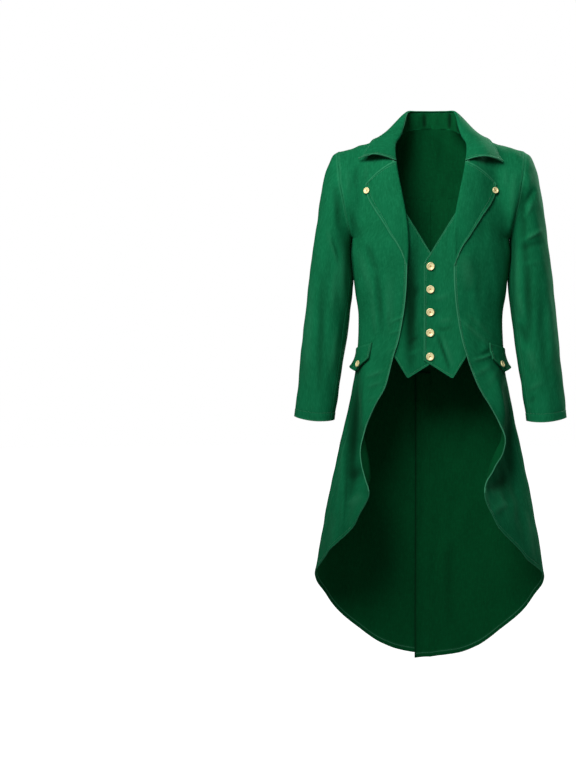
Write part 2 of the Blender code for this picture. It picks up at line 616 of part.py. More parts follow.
def make_fall():
    c = np.linspace(-1, 1, 27)
    fold, edge = collar_lines(c)
    along = unit(np.gradient(fold, axis=0))
    fall = edge - fold
    down = unit(fall - along * (fall * along).sum(-1, keepdims=True))
    out = unit(np.cross(along, down))
    radius = CLOTH / 2 + LIE
    rows = [fold + (out * math.cos(a) - down * math.sin(a)) * radius for a in np.radians(WRAP)]
    near_gorge = np.clip((np.abs(c) - 0.7) / 0.3, 0, 1) ** 2
    for share in FALL_SHARES:
        lies = fold + fall * share + out * radius
        lies[:, 2] += GORGE_BOW * near_gorge * math.sin(math.pi * share)
        rows.append(lies)
    inner = np.stack(rows)
    forward = eased((np.abs(c) - COLLAR_PRESSED) / (STAND_END - NECK_C))
    press = np.array(FALL_SHARES)[:, None] ** 2 * forward[None, :]
    under = tree_of("yoke", "front_left", "front_right")
    inner[3:] = clear_of(under, inner[3:], out + 0 * inner[3:], LIE, press)
    inner[3:] = settled(under, inner[3:], out + 0 * inner[3:])
    leaf("collar_fall", inner, np.array([0.0, 0.0, 1.0]))


def make_stand():
    c = np.linspace(-STAND_END, STAND_END, 19)
    top, _ = collar_lines(c)
    side = np.where(c < 0, -1.0, 1.0)
    behind = np.clip(np.abs(c) / NECK_C, 0, 1) * NECK_S
    bottom = body(behind * side, 0 * c) - body_normals(behind * side, 0 * c) * CLOTH / 2
    ahead = np.clip((np.abs(c) - NECK_C) / (STAND_END - NECK_C), 0, 1)
    on_front, _, _ = front_edge(ahead * STAND_END_T)
    bottom = np.where((ahead > 0)[:, None], mirrored(on_front, side), bottom)
    bottom += unit(top - bottom) * (CLOTH / 2 + GAP)
    middle = np.stack([bottom, bottom * 0.5 + top * 0.5, top])
    out = grid_normals(middle, np.array([0.0, 1.0, 0.0]))
    outsides["collar_stand"] = middle + out * CLOTH / 2
    wall("collar_stand", middle + out * CLOTH / 2, middle - out * CLOTH / 2)


def make_lapel(side_name, side):
    v = np.linspace(0, 1, 14)
    roll_z, edge_x, edge_z = through(LAPEL, v).T
    t = t_at(np.ones(v.shape), roll_z)
    centre, out, off = front_edge(t)
    roll = body(np.ones(v.shape), t)
    radius = CLOTH / 2 + LIE
    columns = [centre + (out * math.cos(a) + off * math.sin(a)) * radius for a in np.radians(WRAP)]
    for share in LAPEL_SHARES:
        bow = LAPEL_TOP_BOW * math.sin(math.pi * share) * (1 - v) ** 4
        x = roll[:, 0] + (edge_x - roll[:, 0]) * share
        z = roll[:, 2] + (edge_z - roll[:, 2]) * share + bow
        point, normal = cast(tree_of("front_left"), np.stack([x, 0 * x - 0.11, z], axis=-1), (0, 1, 0))
        columns.append(point + normal * LIE)
    inner = np.stack(columns, axis=1)
    inner[:, 3:] = settled(tree_of("front_left"), inner[:, 3:], grid_normals(inner, FORWARD)[:, 3:])
    leaf(f"lapel_{side_name}", inner, FORWARD, side)


def waistcoat(x, z, deep):
    """The false waistcoat's surface, a little inside the coat's own outline."""
    half, side_y, _, front_y, _ = np.moveaxis(through(SECTIONS, np.minimum(z, UNDERARM_Z)), -1, 0)
    above = np.clip(z - UNDERARM_Z, 0, None)
    y = side_y + (front_y - side_y) * np.cos(np.arcsin((np.abs(x) / half) ** (1 / SQUARENESS))) ** SQUARENESS
    return np.stack([x, y + deep + 0.9 * above**2, z], axis=-1)


def make_waistcoat(side_name, side):
    inner_x, deep = WAISTCOAT[side_name]
    x = np.linspace(inner_x, WAISTCOAT_OUTER, 9)[None, :]
    top = V_Z + V_RISE * x
    towards_point = NOTCH_Z + (POINT_Z - NOTCH_Z) * x / POINT_X
    bottom = np.where(x < POINT_X, towards_point, POINT_Z + POINT_RISE * (x - POINT_X))
    share = np.linspace(0, 1, 12)[:, None]
    z = top + (bottom - top) * share
    outer = waistcoat(x + 0 * z, z, deep)
    inner = outer + grid_normals(outer, np.array([0.0, 1.0, 0.0])) * CLOTH
    outsides[f"vest_front_{side_name}"] = mirrored(outer, side)
    wall(f"vest_front_{side_name}", mirrored(outer, side), mirrored(inner, side), GREEN_DARK)


def make_flap(side_name, side):
    u, w = np.meshgrid(np.linspace(0, 1, 9), np.linspace(0, 1, 4))
    s = FLAP_FRONT_S + (FLAP_BACK_S - FLAP_FRONT_S) * u
    depth = FLAP_DEPTH + (FLAP_POINT_DEPTH - FLAP_DEPTH) * (1 - np.abs(2 * u - 1))
    z = FLAP_FRONT_Z + (FLAP_BACK_Z - FLAP_FRONT_Z) * u - depth * w
    t = t_at(s, z)
    out = body_normals(s, t)
    lies = clear_of(tree_of("front_left", "back_left"), body(s, t), out, LIE, 0 * u)
    lies += out * (FLAP_STAND_OUT * (0.3 + 0.7 * u) * w**2)[..., None]
    leaf(f"pocket_flap_{side_name}", lies, np.array([1.0, 0.0, 0.0]), side)


def make_strap():
    x = np.array(STRAP_SHARES)[None, :] * STRAP_HALF
    half = STRAP_HEIGHT / 2 - STRAP_POINT * (np.abs(x) / STRAP_HALF > 0.95)
    z = STRAP_Z - STRAP_SAG * (1 - (x / STRAP_HALF) ** 2) + half * np.array([1.0, 0.0, -1.0])[:, None]
    s = s_at(x + 0 * z, z)
    t = t_at(np.abs(s), z)
    lies = clear_of(tree_of("back_left", "back_right"), body(s, t), body_normals(s, t), LIE, 0 * z)
    leaf("back_strap", lies, np.array([0.0, 1.0, 0.0]))


def make_placket(side_name, side):
    w, v = np.meshgrid(np.linspace(*PLACKET_W, 4), np.linspace(*PLACKET_V, 5))
    out = sleeve_normals(w, v)
    inner = clear_of(tree_of("sleeve_top_left"), sleeve(w, v), out, LIE, 0 * w)
    leaf(f"cuff_placket_{side_name}", inner, np.array([0.0, 1.0, 0.0]), side, CLOTH)


def make_underlap():
    z = np.linspace(VENT_Z, TAIL_Z - UNDERLAP_LONGER, 10)[:, None]
    x = np.linspace(UNDERLAP_IN, -UNDERLAP_OUT, 4)[None, :]
    s = s_at(x + 0 * z, z)
    t = t_at_or_below(s, z)
    outer = body(s, t) - body_normals(s, t) * (CLOTH + 2 * LIE)
    wall("vent_underlap", outer, outer - body_normals(s, t) * CLOTH)


def t_at_or_below(s, z):
    """As t_at, and past the hem too."""
    hem = through(HEM, np.abs(s))[..., 0]
    return UNDERARM_T + (1 - UNDERARM_T) * (z - UNDERARM_Z) / (hem - UNDERARM_Z)


def button(name, kind, carrier, over, direction):
    """A turned button with a raised rim and a dished face, seated where a ray meets its carrier."""
    radius, thick = BUTTON[kind] / 2, BUTTON_THICK
    bm = bmesh.new()
    line = [bm.verts.new((x * radius, 0, z * thick)) for x, z in BUTTON_PROFILE]
    for a, b in zip(line, line[1:]):
        bm.edges.new((a, b))
    mesh = bpy.data.meshes.new(name)
    bm.to_mesh(mesh)
    bm.free()
    obj = finish(bpy.data.objects.new(name, mesh), CREAM, 0.35)
    turned = obj.modifiers.new("turned", "SCREW")
    turned.angle = 2 * math.pi
    turned.steps = turned.render_steps = 12
    turned.use_merge_vertices = True
    turned.merge_threshold = 0.0001
    turned.use_normal_calculate = True
    tree = tree_of(carrier)
    point, normal = cast(tree, np.array([over]), direction)
    out = Vector(normal[0])
    facing = out.to_track_quat("Z", "Y")
    height = 0.0
    for angle in np.linspace(0, 2 * math.pi, 8, endpoint=False):
        rim = Vector((math.cos(angle), math.sin(angle), 0)) * radius * BUTTON_FOOT
        start = Vector(point[0]) + facing @ rim + out * thick
        hit, _, _, distance = tree.ray_cast(start, -out)
        height = max(height, thick - distance) if hit else height
    obj.location = Vector(point[0]) + out * (height + GAP)
    obj.rotation_mode = "QUATERNION"
    obj.rotation_quaternion = facing


def make_buttons():
    for i, z in enumerate(BUTTON_Z, 1):
        button(f"button_front_{i}", "front", "vest_front_left", (0, 0, z), (0, 1, 0))
    for name, side in (("left", 1.0), ("right", -1.0)):
        x, z = LAPEL_BUTTON
        button(f"button_lapel_{name}", "lapel", f"lapel_{name}", (x * side, 0, z), (0, 1, 0))
        button(f"button_flap_{name}", "flap", f"pocket_flap_{name}", (0, *FLAP_BUTTON), (-side, 0, 0))
        x, z = BELT_BUTTON
        button(f"button_belt_{name}", "belt", "back_strap", (x * side, 0, z), (0, -1, 0))
        for i, v in enumerate(PLACKET_BUTTON_V, 1):
            x, _, z = sleeve(np.array(sum(PLACKET_W) / 2), np.array(v))
            button(f"button_cuff_{name}_{i}", "cuff", f"cuff_placket_{name}", (x * side, 0, z), (0, -1, 0))


bpy.ops.object.select_all(action="DESELECT")
for old in list(bpy.data.objects):
    bpy.data.objects.remove(old, do_unlink=True)
coat = bpy.data.collections.new("frock_coat")
bpy.context.scene.collection.children.link(coat)
outsides = {}  # each piece's outer sheet of points

make_yoke()
for side_name, side in (("left", 1.0), ("right", -1.0)):
    make_body(side_name, side)
    make_sleeve(side_name, side)
make_fall()
make_stand()
make_strap()
make_underlap()
for side_name, side in (("left", 1.0), ("right", -1.0)):
    make_lapel(side_name, side)
    make_waistcoat(side_name, side)
    make_flap(side_name, side)
    make_placket(side_name, side)
make_buttons()
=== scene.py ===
"""A man's long frock coat in green cotton twill, tailored round its loaded frame.

Metres, +Z up. The front faces -Y and the wearer's left is +X. The origin lies between the two points where
the shoulder seams meet the neck. All the cloth is cut from one shared form, so that neighbours meet at seams.
"""

import math

import bmesh
import bpy
import numpy as np
from bpy.props import FloatProperty, FloatVectorProperty, IntProperty, PointerProperty
from mathutils import Matrix, Vector
from mathutils.bvhtree import BVHTree


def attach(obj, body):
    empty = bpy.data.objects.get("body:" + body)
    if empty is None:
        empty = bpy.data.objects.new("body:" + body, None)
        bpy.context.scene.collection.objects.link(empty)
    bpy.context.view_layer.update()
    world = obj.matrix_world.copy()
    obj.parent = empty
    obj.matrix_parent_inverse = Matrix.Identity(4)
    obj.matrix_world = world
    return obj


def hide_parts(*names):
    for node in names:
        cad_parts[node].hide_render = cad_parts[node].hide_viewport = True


bl_info = {
    "name": "Frock Coat",
    "version": (1, 0, 0),
    "blender": (4, 5, 0),
    "location": "3D View > Sidebar > Frock Coat",
    "description": "Tailors a long cutaway frock coat with a false waistcoat round its loaded frame",
    "category": "Object",
}

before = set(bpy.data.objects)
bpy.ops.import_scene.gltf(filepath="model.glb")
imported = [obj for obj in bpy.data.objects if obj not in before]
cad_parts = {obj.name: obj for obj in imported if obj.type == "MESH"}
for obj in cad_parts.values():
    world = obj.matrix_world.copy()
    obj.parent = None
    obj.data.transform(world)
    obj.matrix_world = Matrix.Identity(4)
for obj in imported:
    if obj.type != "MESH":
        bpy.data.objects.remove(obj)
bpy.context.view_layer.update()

SIDES = {"left": 1.0, "right": -1.0}  # the wearer's sides, and the sign of x on each
MM, CM = 0.001, 0.01
AHEAD, BEHIND, ABOVE = np.array([0.0, -1.0, 0.0]), np.array([0.0, 1.0, 0.0]), np.array([0.0, 0.0, 1.0])

# The form that all the cloth follows.
NECK_HALF = 0.070
NAPE_Y, NAPE_Z = 0.068, 0.015
SHOULDER_HALF = 0.222
SHOULDER_Y, SHOULDER_DROP = 0.010, 0.046
UNDERARM_Z, WAIST_Z = -0.250, -0.430
HALF_CHEST, HALF_WAIST, HALF_HEM = 0.187, 0.172, 0.2775
SIDE_HEM_Z, TAIL_Z = -1.062, -1.294
CUFF_Z = -0.680
SEAM_LAP = 0.0005  # how far each piece runs past its seam line, so that no light shows through

# Round the half body s is 0 at the centre back, SIDE_S at the side and 1 at the front edge. Down it t is 0 at
# the neck and shoulder, UNDERARM_T at the underarm and 1 at the hem.
NECK_S, SIDE_S, UNDERARM_T = 0.19, 0.50, 0.25
YOKE_T = 0.103  # where the yoke's seam meets the armhole
SIDE_SEAM_FORWARD = 0.055  # how far the side seam comes round to the front in the skirt
ARMHOLE_DEPTH = (0.068, 0.069)  # back, front
ARMHOLE_REACH = 0.26  # how far round the body the armhole's own curve is felt
ARMHOLE_POWER = 1.5  # over 1 keeps the armhole outward at the shoulder point, and brings it in lower down
SQUARENESS = 0.87  # under 1 makes the sections a little squarer than ellipses
RING_PULL = 1.2  # how strongly the cloth above the underarm comes down upright
SLEEVE_HEAD_V = 0.12  # how far down the sleeve the armhole's own curve is felt
CUFF_SAG = 0.004  # how much lower the cuff hangs in front and behind than at its two sides

# Sections of the body from the chest down: half the width, the side's and the back's and the front's place in
# depth, and how far the front edge stands from the middle.
SECTIONS = np.array([
    # z, half_width, side_y, back_y, front_y, edge_x
    (UNDERARM_Z, HALF_CHEST, 0.000, 0.108, -0.117, 0.056),
    (-0.285, 0.1893, 0.000, 0.1055, -0.1153, 0.055),
    (-0.340, 0.1848, 0.000, 0.101, -0.112, 0.055),
    (-0.390, 0.1785, 0.000, 0.096, -0.1085, 0.058),
    (WAIST_Z, HALF_WAIST, 0.000, 0.092, -0.105, 0.063),
    (-0.500, 0.1735, 0.000, 0.098, -0.108, 0.077),
    (-0.560, 0.1780, 0.002, 0.108, -0.113, 0.097),
    (-0.620, 0.1890, 0.006, 0.118, -0.118, 0.122),
    (-0.700, 0.2060, 0.012, 0.132, -0.120, 0.160),
    (-0.800, 0.2290, 0.020, 0.150, -0.122, 0.160),
    (-0.920, 0.2535, 0.030, 0.172, -0.124, 0.160),
    (SIDE_HEM_Z, HALF_HEM, 0.042, 0.194, -0.126, 0.160),
    (-1.180, 0.2890, 0.050, 0.210, -0.126, 0.160),
    (-1.340, 0.2960, 0.056, 0.226, -0.126, 0.160),
])
# The cutaway skirt's front folds: a hollow behind a soft ridge, and an edge that rolls out half way down.
# They lie a little differently on the wearer's two sides.
# Each row: z, hollow_x, hollow_y, ridge_x, ridge_y, edge_x, edge_y.
FLUTE_START, FLUTE_FULL = -0.500, -0.600
FLUTES = {
    "left": np.array([
        (-0.540, 0.164, -0.049, 0.136, -0.081, 0.089, -0.102),
        (-0.600, 0.172, -0.046, 0.164, -0.086, 0.114, -0.106),
        (-0.640, 0.174, -0.041, 0.174, -0.089, 0.138, -0.109),
        (-0.690, 0.174, -0.037, 0.176, -0.084, 0.166, -0.106),
        (-0.725, 0.174, -0.034, 0.170, -0.078, 0.177, -0.106),
        (-0.755, 0.176, -0.033, 0.157, -0.079, 0.172, -0.113),
        (-0.790, 0.181, -0.034, 0.142, -0.087, 0.151, -0.123),
        (-0.824, 0.190, -0.038, 0.136, -0.096, 0.133, -0.131),
        (-0.855, 0.198, -0.043, 0.140, -0.104, 0.128, -0.135),
        (-0.900, 0.206, -0.052, 0.152, -0.107, 0.134, -0.136),
        (-0.960, 0.216, -0.058, 0.167, -0.103, 0.144, -0.131),
        (-1.020, 0.228, -0.052, 0.190, -0.094, 0.166, -0.117),
        (-1.080, 0.245, -0.040, 0.215, -0.080, 0.190, -0.102),
    ]),
    "right": np.array([
        (-0.540, 0.164, -0.049, 0.136, -0.081, 0.087, -0.102),
        (-0.600, 0.171, -0.046, 0.157, -0.087, 0.105, -0.106),
        (-0.660, 0.171, -0.041, 0.160, -0.091, 0.137, -0.109),
        (-0.700, 0.171, -0.038, 0.160, -0.088, 0.154, -0.107),
        (-0.740, 0.171, -0.036, 0.154, -0.083, 0.162, -0.109),
        (-0.780, 0.177, -0.035, 0.146, -0.085, 0.161, -0.115),
        (-0.820, 0.188, -0.037, 0.143, -0.093, 0.150, -0.124),
        (-0.850, 0.198, -0.042, 0.152, -0.101, 0.143, -0.130),
        (-0.900, 0.213, -0.050, 0.169, -0.105, 0.151, -0.133),
        (-0.960, 0.233, -0.054, 0.184, -0.099, 0.164, -0.127),
        (-1.020, 0.249, -0.047, 0.205, -0.090, 0.190, -0.112),
        (-1.080, 0.262, -0.036, 0.238, -0.074, 0.220, -0.098),
    ]),
}
HEM = np.array([
    # s, z
    (0.000, TAIL_Z), (0.074, -1.2805), (0.120, -1.2625), (0.195, -1.218), (0.270, -1.1755), (0.360, -1.120),
    (0.450, -1.085), (0.550, -1.049), (0.680, -0.998), (0.840, -0.919), (1.000, -0.845),
])
# The neckline at the back, and the way the cloth leaves it.
NECK_EDGE = np.array([
    # s, x, y, z, down_x, down_y, down_z
    (0.00, 0.000, NAPE_Y, NAPE_Z, 0.00, 0.10, -0.26),
    (0.10, 0.043, 0.057, 0.0115, 0.00, 0.14, -0.20),
    (NECK_S, NECK_HALF, SHOULDER_Y, 0.000, 0.00, 0.20, 0.00),
])
OVER_SHOULDER = 0.20  # how strongly the cloth leaves the shoulder seam, level
ROLL_LEAVES = (0.14, -0.30, -0.05)  # how the roll line leaves the neck
# The sleeve from the armhole to the cuff: its outermost and innermost points and half its depth.
SLEEVE = np.array([
    # v, outer_x, outer_y, outer_z, inner_x, inner_y, inner_z, half_depth
    (0.00, 0.2220, 0.010, -0.046, 0.1870, 0.000, -0.250, 0.0685),
    (0.06, 0.2370, 0.010, -0.056, 0.1880, 0.008, -0.258, 0.0710),
    (0.13, 0.2510, 0.009, -0.090, 0.1888, 0.014, -0.268, 0.0730),
    (0.22, 0.2620, 0.008, -0.140, 0.1896, 0.018, -0.285, 0.0735),
    (0.32, 0.2720, 0.008, -0.205, 0.1878, 0.018, -0.315, 0.0720),
    (0.43, 0.2830, 0.008, -0.285, 0.1845, 0.014, -0.359, 0.0690),
    (0.54, 0.2940, 0.010, -0.372, 0.1905, 0.006, -0.416, 0.0650),
    (0.66, 0.3030, 0.010, -0.455, 0.1980, 0.000, -0.480, 0.0600),
    (0.78, 0.3110, 0.003, -0.535, 0.2080, -0.008, -0.548, 0.0570),
    (0.90, 0.3185, -0.008, -0.613, 0.2190, -0.020, -0.618, 0.0545),
    (1.00, 0.3250, -0.019, CUFF_Z + 0.004, 0.2285, -0.031, CUFF_Z - 0.004, 0.0530),
])
# The sleeve's two seams, as shares of a turn from the top through the back: at the armhole and at the cuff.
HIND_SEAM, FORE_SEAM = (0.280, 0.265), (0.580, 0.600)
SEAM_UP = np.array([0.33, 0.0, 0.944])  # outwards, all along the shoulder seam and over the sleeve's head
# How far apart the points are that give a surface its slope, and the same below the underarm in metres.
BODY_STEP, SLEEVE_STEP, RING_STEP = 0.012, 0.010, 0.010
JUST_PAST, HAIR = 1e-6, 1e-9  # past the side seam by these a place belongs to the front
SEAM_SWINGS = 0.3  # in t, the length of skirt over which the side seam comes forward
HEAD_SHARPNESS = 5  # over 1 / this of a turn from the shoulder point the sleeve's head keeps SEAM_UP
NECK_UP_S, NECK_UP_T = 0.06, 0.04  # how far from the neck's corner the body keeps SEAM_UP
# How far from the armhole body and sleeve share their outward directions.
NEAR_HOLE_S, NEAR_HOLE_V = 0.08, 0.05
HEAD_END = 0.08  # the turn round the armhole up to which creases run over its seam

# Creases listed one by one: each is a soft ridge (+) or trough (-) from one point to another, as high and
# wide as its row says, and lean steepens it to one side. x is the coat's own, on the front and the back
# alike.
# Each row: x0_cm, z0_cm, x1_cm, z1_cm, width_mm, height_mm, lean.
FRONT_CREASES = np.array([
    (-15, -26, -12.6, -33, 9, -1.8, 0.3),
    (-12.8, -31, -10.9, -48.5, 9, -2.2, 0.4),
    (-17.2, -27.5, -13.4, -39, 10, 1.5, 0),
    (-13.8, -36, -12.9, -48, 7, 1.5, 0),
    (-9.8, -33.5, -9.6, -48, 11, 1.5, 0),
    (-9.6, -44.9, -5.8, -43.2, 4, 1.2, 0.6),
    (-9.9, -47.6, -6.4, -46.4, 4, 0.9, 0.6),
    (-10.4, -51.8, -7.4, -50.6, 4, 0.8, 0.5),
    (-15.6, -57.9, -10.4, -56, 5, 1.6, 0.6),
    (-15.2, -60.2, -11, -58.6, 5, 1.2, 0.6),
    (-14.9, -63.2, -12.6, -62.2, 5, 0.9, 0.5),
    (-19.8, -8.5, -19.4, -15.5, 6, 1, 0),
    (-17.4, -7.5, -17.4, -14, 6, -1.1, 0),
    (-15.4, -7.5, -15.2, -11.8, 5, 0.9, 0),
    (-19.6, -17.5, -16.6, -25.5, 9, -1.2, 0.3),
    (-19.8, -19, -18.7, -30, 7, 1.3, 0),
    (7.4, -28.5, 9.6, -37.5, 15, 2.2, 0),
    (11.6, -27, 11.2, -42, 12, -1.2, 0),
    (6.6, -43.6, 14.6, -50.6, 6, 1.8, 0.6),
    (8.2, -42.4, 15.2, -48.4, 5, 1.1, 0.5),
    (9.6, -53.9, 15.2, -52, 5, 2.6, 0.8),
    (11, -53.3, 15.3, -51.1, 5, -2.6, 0),
    (10.4, -57.2, 14.4, -54.9, 6, 1.5, 0.5),
    (13.2, -59.8, 16.4, -55.6, 6, 1.1, 0.4),
    (15.2, -8, 15, -12, 6, -1.1, 0),
    (17.4, -8, 17.6, -13.5, 6, 1, 0),
    (19.6, -9, 18.9, -21, 8, 1.5, 0),
    (18, -16, 17, -27, 9, -1, 0),
    (20.9, -86, 21, -98, 9, -1.2, 0),
    (23.2, -90, 24.6, -103, 8, 2.4, 0.5),
    (-22.8, -90, -23.6, -101, 9, 1.6, 0),
    (-16.8, -85, -19.6, -94, 8, 1.2, 0),
    (16, -84, 18.8, -93, 8, 1.3, 0),
    (-19.8, -88.5, -15.4, -85.5, 10, 2.6, 0.3),
    (-19.6, -82.5, -15.6, -79.5, 13, -2.4, 0),
    (14.4, -89.8, 18.4, -87.4, 8, 2.6, 0.3),
    (14.2, -84.6, 18.8, -81.6, 13, -2.2, 0),
    (-17.3, -52, -19.2, -88, 12, -3.6, 0),
    (-18.8, -56, -20.2, -90, 14, -1.8, 0),
    (-19.6, -59, -22.2, -90, 5, 2.4, 0),
    (18.8, -52, 19.9, -88, 12, -3.4, 0),
    (17.2, -74, 18, -92, 12, -1.8, 0),
    (-20.1, -76, -20.6, -99, 2, -1.6, 0),
    (-20.7, -78, -21.2, -99, 3, 1.2, 0),
])
BACK_CREASES = np.array([
    (8, -17, 7.9, -39.5, 9, -2, 0.3),
    (5.6, -18, 5.6, -38, 10, 1.4, 0),
    (3.2, -21, 1.8, -38, 9, -1.6, 0),
    (-2.9, -20, -2.4, -33, 9, 1, 0),
    (-3.6, -24, -4, -40.5, 9, -1.5, 0),
    (-6.6, -19, -6.6, -38, 12, 1.6, 0),
    (-10.2, -15.5, -11.6, -31, 12, -1.4, 0),
    (18.6, -23.6, 11.4, -21.8, 8, -1.6, 0.4),
    (18.2, -27.6, 11, -26.4, 7, -1.2, 0.4),
    (18.2, -30.6, 10.2, -30.4, 10, 2.2, 0.4),
    (17.4, -34, 11.6, -35.6, 8, -1.4, 0),
    (9, -43.4, 14.6, -50.4, 9, 2.2, 0.4),
    (8.4, -44.8, 11, -49.4, 8, -2, 0),
    (-8.4, -44.4, -13.6, -39.6, 8, -1.8, 0.3),
    (-9, -48.6, -13, -46.4, 6, 2, 0.7),
    (-9.2, -52.4, -14.6, -48.8, 7, 1.7, 0.6),
    (-9.6, -45, -12.4, -44, 6, -1.6, 0),
    (12, -30, 13.2, -41, 14, 1, 0),
    (-14.4, -22, -13.6, -38, 14, 1.3, 0),
    (16.9, -58, 4.4, -84, 20, 2.2, 0),
    (16.2, -60, 11.6, -71, 14, -1.8, 0),
    (-16.6, -58.5, -17.6, -84, 16, 1.8, 0),
    (-8.8, -60.5, -9.6, -80, 16, 1.1, 0),
    (-4.4, -66, -4.4, -79, 9, -1, 0),
    (-16, -78, -15, -92, 11, 1.5, 0.3),
    (7.6, -88, 2.8, -103, 14, 1.4, 0),
    (21, -84, 22.6, -103, 16, -1.8, 0),
    (-22, -88, -23.6, -104, 16, -1.6, 0),
    (-8, -96, -3, -108, 18, 1.2, 0),
    (-12, -92, -11, -114, 20, -1.4, 0),
    (12.6, -90, 13, -114, 20, 1.4, 0),
    (4.6, -92, 5, -122, 12, -1.6, 0.3),
    (7.4, -14, 7.2, -9, 10, 0.9, 0),
    (4.2, -13, 4, -8, 6, -0.8, 0),
    (2.6, -15, 2.8, -11.5, 5, -0.9, 0),
    (13.2, -12, 13.6, -8, 7, -0.8, 0),
    (-10, -4.2, -17, -5.2, 8, 1.3, 0),
    (-12, -12, -12.6, -8, 8, -0.9, 0),
    (20.6, -6.5, 15, -11, 9, -1.6, 0),
    (-20.8, -8, -17, -11, 8, -1.1, 0),
])
SLEEVE_FRONT_CREASES = np.array([
    (-23, -12, -20.9, -24, 9, -2.2, 0),
    (-24.4, -22.5, -21.8, -31.5, 6, 1.6, 0.5),
    (-23.6, -24, -21.2, -31, 5, -1.4, 0),
    (-22.4, -31, -23.6, -43, 9, 1.6, 0),
    (-25.8, -33, -26.2, -62, 9, -2.4, 0),
    (-28.4, -34, -29.6, -60, 10, 1.8, 0),
    (-22, -46, -23.6, -58, 9, 1.7, 0),
    (-20.2, -42, -21.6, -52, 7, -1.3, 0),
    (21.4, -25.6, 26.4, -23, 6, 2.6, 0.5),
    (20.6, -27.6, 27, -26, 8, -1.8, 0),
    (20.9, -31.4, 26.4, -30.6, 6, 0.9, 0),
    (22, -17, 24.4, -13.2, 7, -2.6, 0.4),
    (21.8, -20.8, 24, -16.2, 7, 1.8, 0.3),
    (24, -9.6, 22.6, -13.6, 8, 1.4, 0),
    (24.8, -11, 25.4, -18.6, 8, 1.5, 0),
    (27.6, -34, 29.4, -58, 9, 1.9, 0),
    (25.6, -36, 27.4, -58, 10, -1.6, 0),
    (21.4, -38, 22.9, -46, 9, 2, 0.4),
    (20.8, -45, 22.6, -50, 8, -2, 0),
    (22.8, -50, 25, -57, 9, 1.8, 0),
    (23, -61, 26.6, -58.6, 7, 1.4, 0.3),
    (23.4, -64.4, 24.8, -62.4, 6, -1.6, 0),
    (20.5, -25, 20.9, -45, 9, 2, 0),
    (21.8, -12, 21.9, -34, 9, -2.2, 0),
    (22.6, -26, 23.4, -52, 12, -3.2, 0),
    (-20.7, -24, -21, -43, 9, 2, 0),
    (-23.5, -26, -24.4, -44, 10, -0.6, 0),
])
SLEEVE_BACK_CREASES = np.array([
    (23.4, -16, 20.4, -31, 9, -2.4, 0),
    (24.6, -22.6, 21.4, -31.4, 6, 1.8, 0.3),
    (25.4, -24, 23.4, -36, 7, 1.2, 0),
    (27.6, -32, 28.4, -52, 10, 1.4, 0),
    (25.8, -34, 27, -50, 9, -1.4, 0),
    (23, -47.6, 24.4, -55, 8, 1.6, 0),
    (-22.6, -28, -24.4, -39.6, 5, 1.8, 0.6),
    (-23.6, -29, -25, -39, 5, -1.5, 0),
    (-24, -20, -22.4, -27, 8, 1.4, 0),
    (-20.6, -23, -20.8, -33, 7, 1.6, 0),
    (-21.2, -45, -27.6, -51.6, 7, 1.9, 0.5),
    (-20.9, -48.4, -25.4, -53.4, 6, -1.7, 0),
    (-22, -41.6, -25.4, -45, 6, 1.4, 0.4),
    (-26, -41, -28, -50, 8, -1.4, 0),
    (-27, -30, -29, -44, 9, 1.3, 0),
    (-23, -55.6, -26, -58.6, 6, 1.2, 0),
    (-24.4, -58.6, -25.6, -66, 8, -1.1, 0),
    (20.9, -12, 23.6, -9, 7, -1.7, 0),
    (-21.4, -11, -23.8, -9.4, 6, -2, 0.3),
])
WAISTCOAT_CREASES = np.array([
    (1.6, -47.2, 4.9, -56.6, 4, -1.7, 0.7),
    (2.6, -47.6, 5.6, -55.6, 5, 1.2, 0),
    (1.4, -46.6, 5.6, -46.2, 4, -1, 0.4),
    (1.8, -44.8, 5.2, -44, 5, 0.9, 0),
    (-1.2, -43, 3, -42.2, 5, -0.8, 0),
    (0.8, -39.6, 4.4, -38.4, 6, 0.8, 0),
    (-2.4, -48.2, -5.2, -50, 5, -0.8, 0.3),
    (-2, -51.4, -5.4, -52.6, 5, 0.9, 0),
    (-2.2, -36, -4.6, -40, 7, -0.9, 0),
    (-4.3, -26, -4.6, -57, 13, -2.6, 0),
])
# The unevenness of hanging cloth: soft waves whose crests run mostly down it.
RIPPLES = np.array([
    # waves per metre along x, y and z, phase, height_mm
    (17, 6, 3.1, 0.3, 0.30),
    (-23, 9, 4.3, 1.9, 0.24),
    (31, 12, 6.7, 4.1, 0.16),
    (-41, 15, 9.1, 2.6, 0.12),
    (9, 21, 13, 5.2, 0.14),
    (13, -5, 19, 0.9, 0.10),
])


def through(rows, at):
    """A table's columns at any places along its first column, on a smooth curve through its rows."""
    rows = rows[np.argsort(rows[:, 0])]
    x, y = rows[:, 0], rows[:, 1:]
    step = np.diff(x)[:, None]
    rise = np.diff(y, axis=0) / step
    middle = (rise[:-1] * step[1:] + rise[1:] * step[:-1]) / (step[1:] + step[:-1])
    slope = np.vstack([rise[:1], middle, rise[-1:]])
    at = np.clip(np.asarray(at, float), x[0], x[-1])
    i = np.clip(np.searchsorted(x, at, side="right") - 1, 0, len(x) - 2)
    h = step[i]
    u = ((at - x[i]) / h[..., 0])[..., None]
    return hermite(u, y[i], y[i + 1], slope[i] * h, slope[i + 1] * h)


def hermite(u, start, end, leave, arrive):
    """The point at share u of a curve from start to end with those tangents."""
    return (
        (1 + 2 * u) * (1 - u) ** 2 * start
        + u**2 * (3 - 2 * u) * end
        + u * (1 - u) ** 2 * leave
        - u**2 * (1 - u) * arrive
    )


def eased(x):
    x = np.clip(x, 0, 1)
    return x * x * (3 - 2 * x)


def bell(x):
    return np.exp(-(x**2))


def between(start, end, share):
    """The value at a share of the way from start to end."""
    return start + (end - start) * share


def blended(first, second, weight):
    """The first where the weight is 0, the second where it is 1."""
    return first * (1 - weight) + second * weight


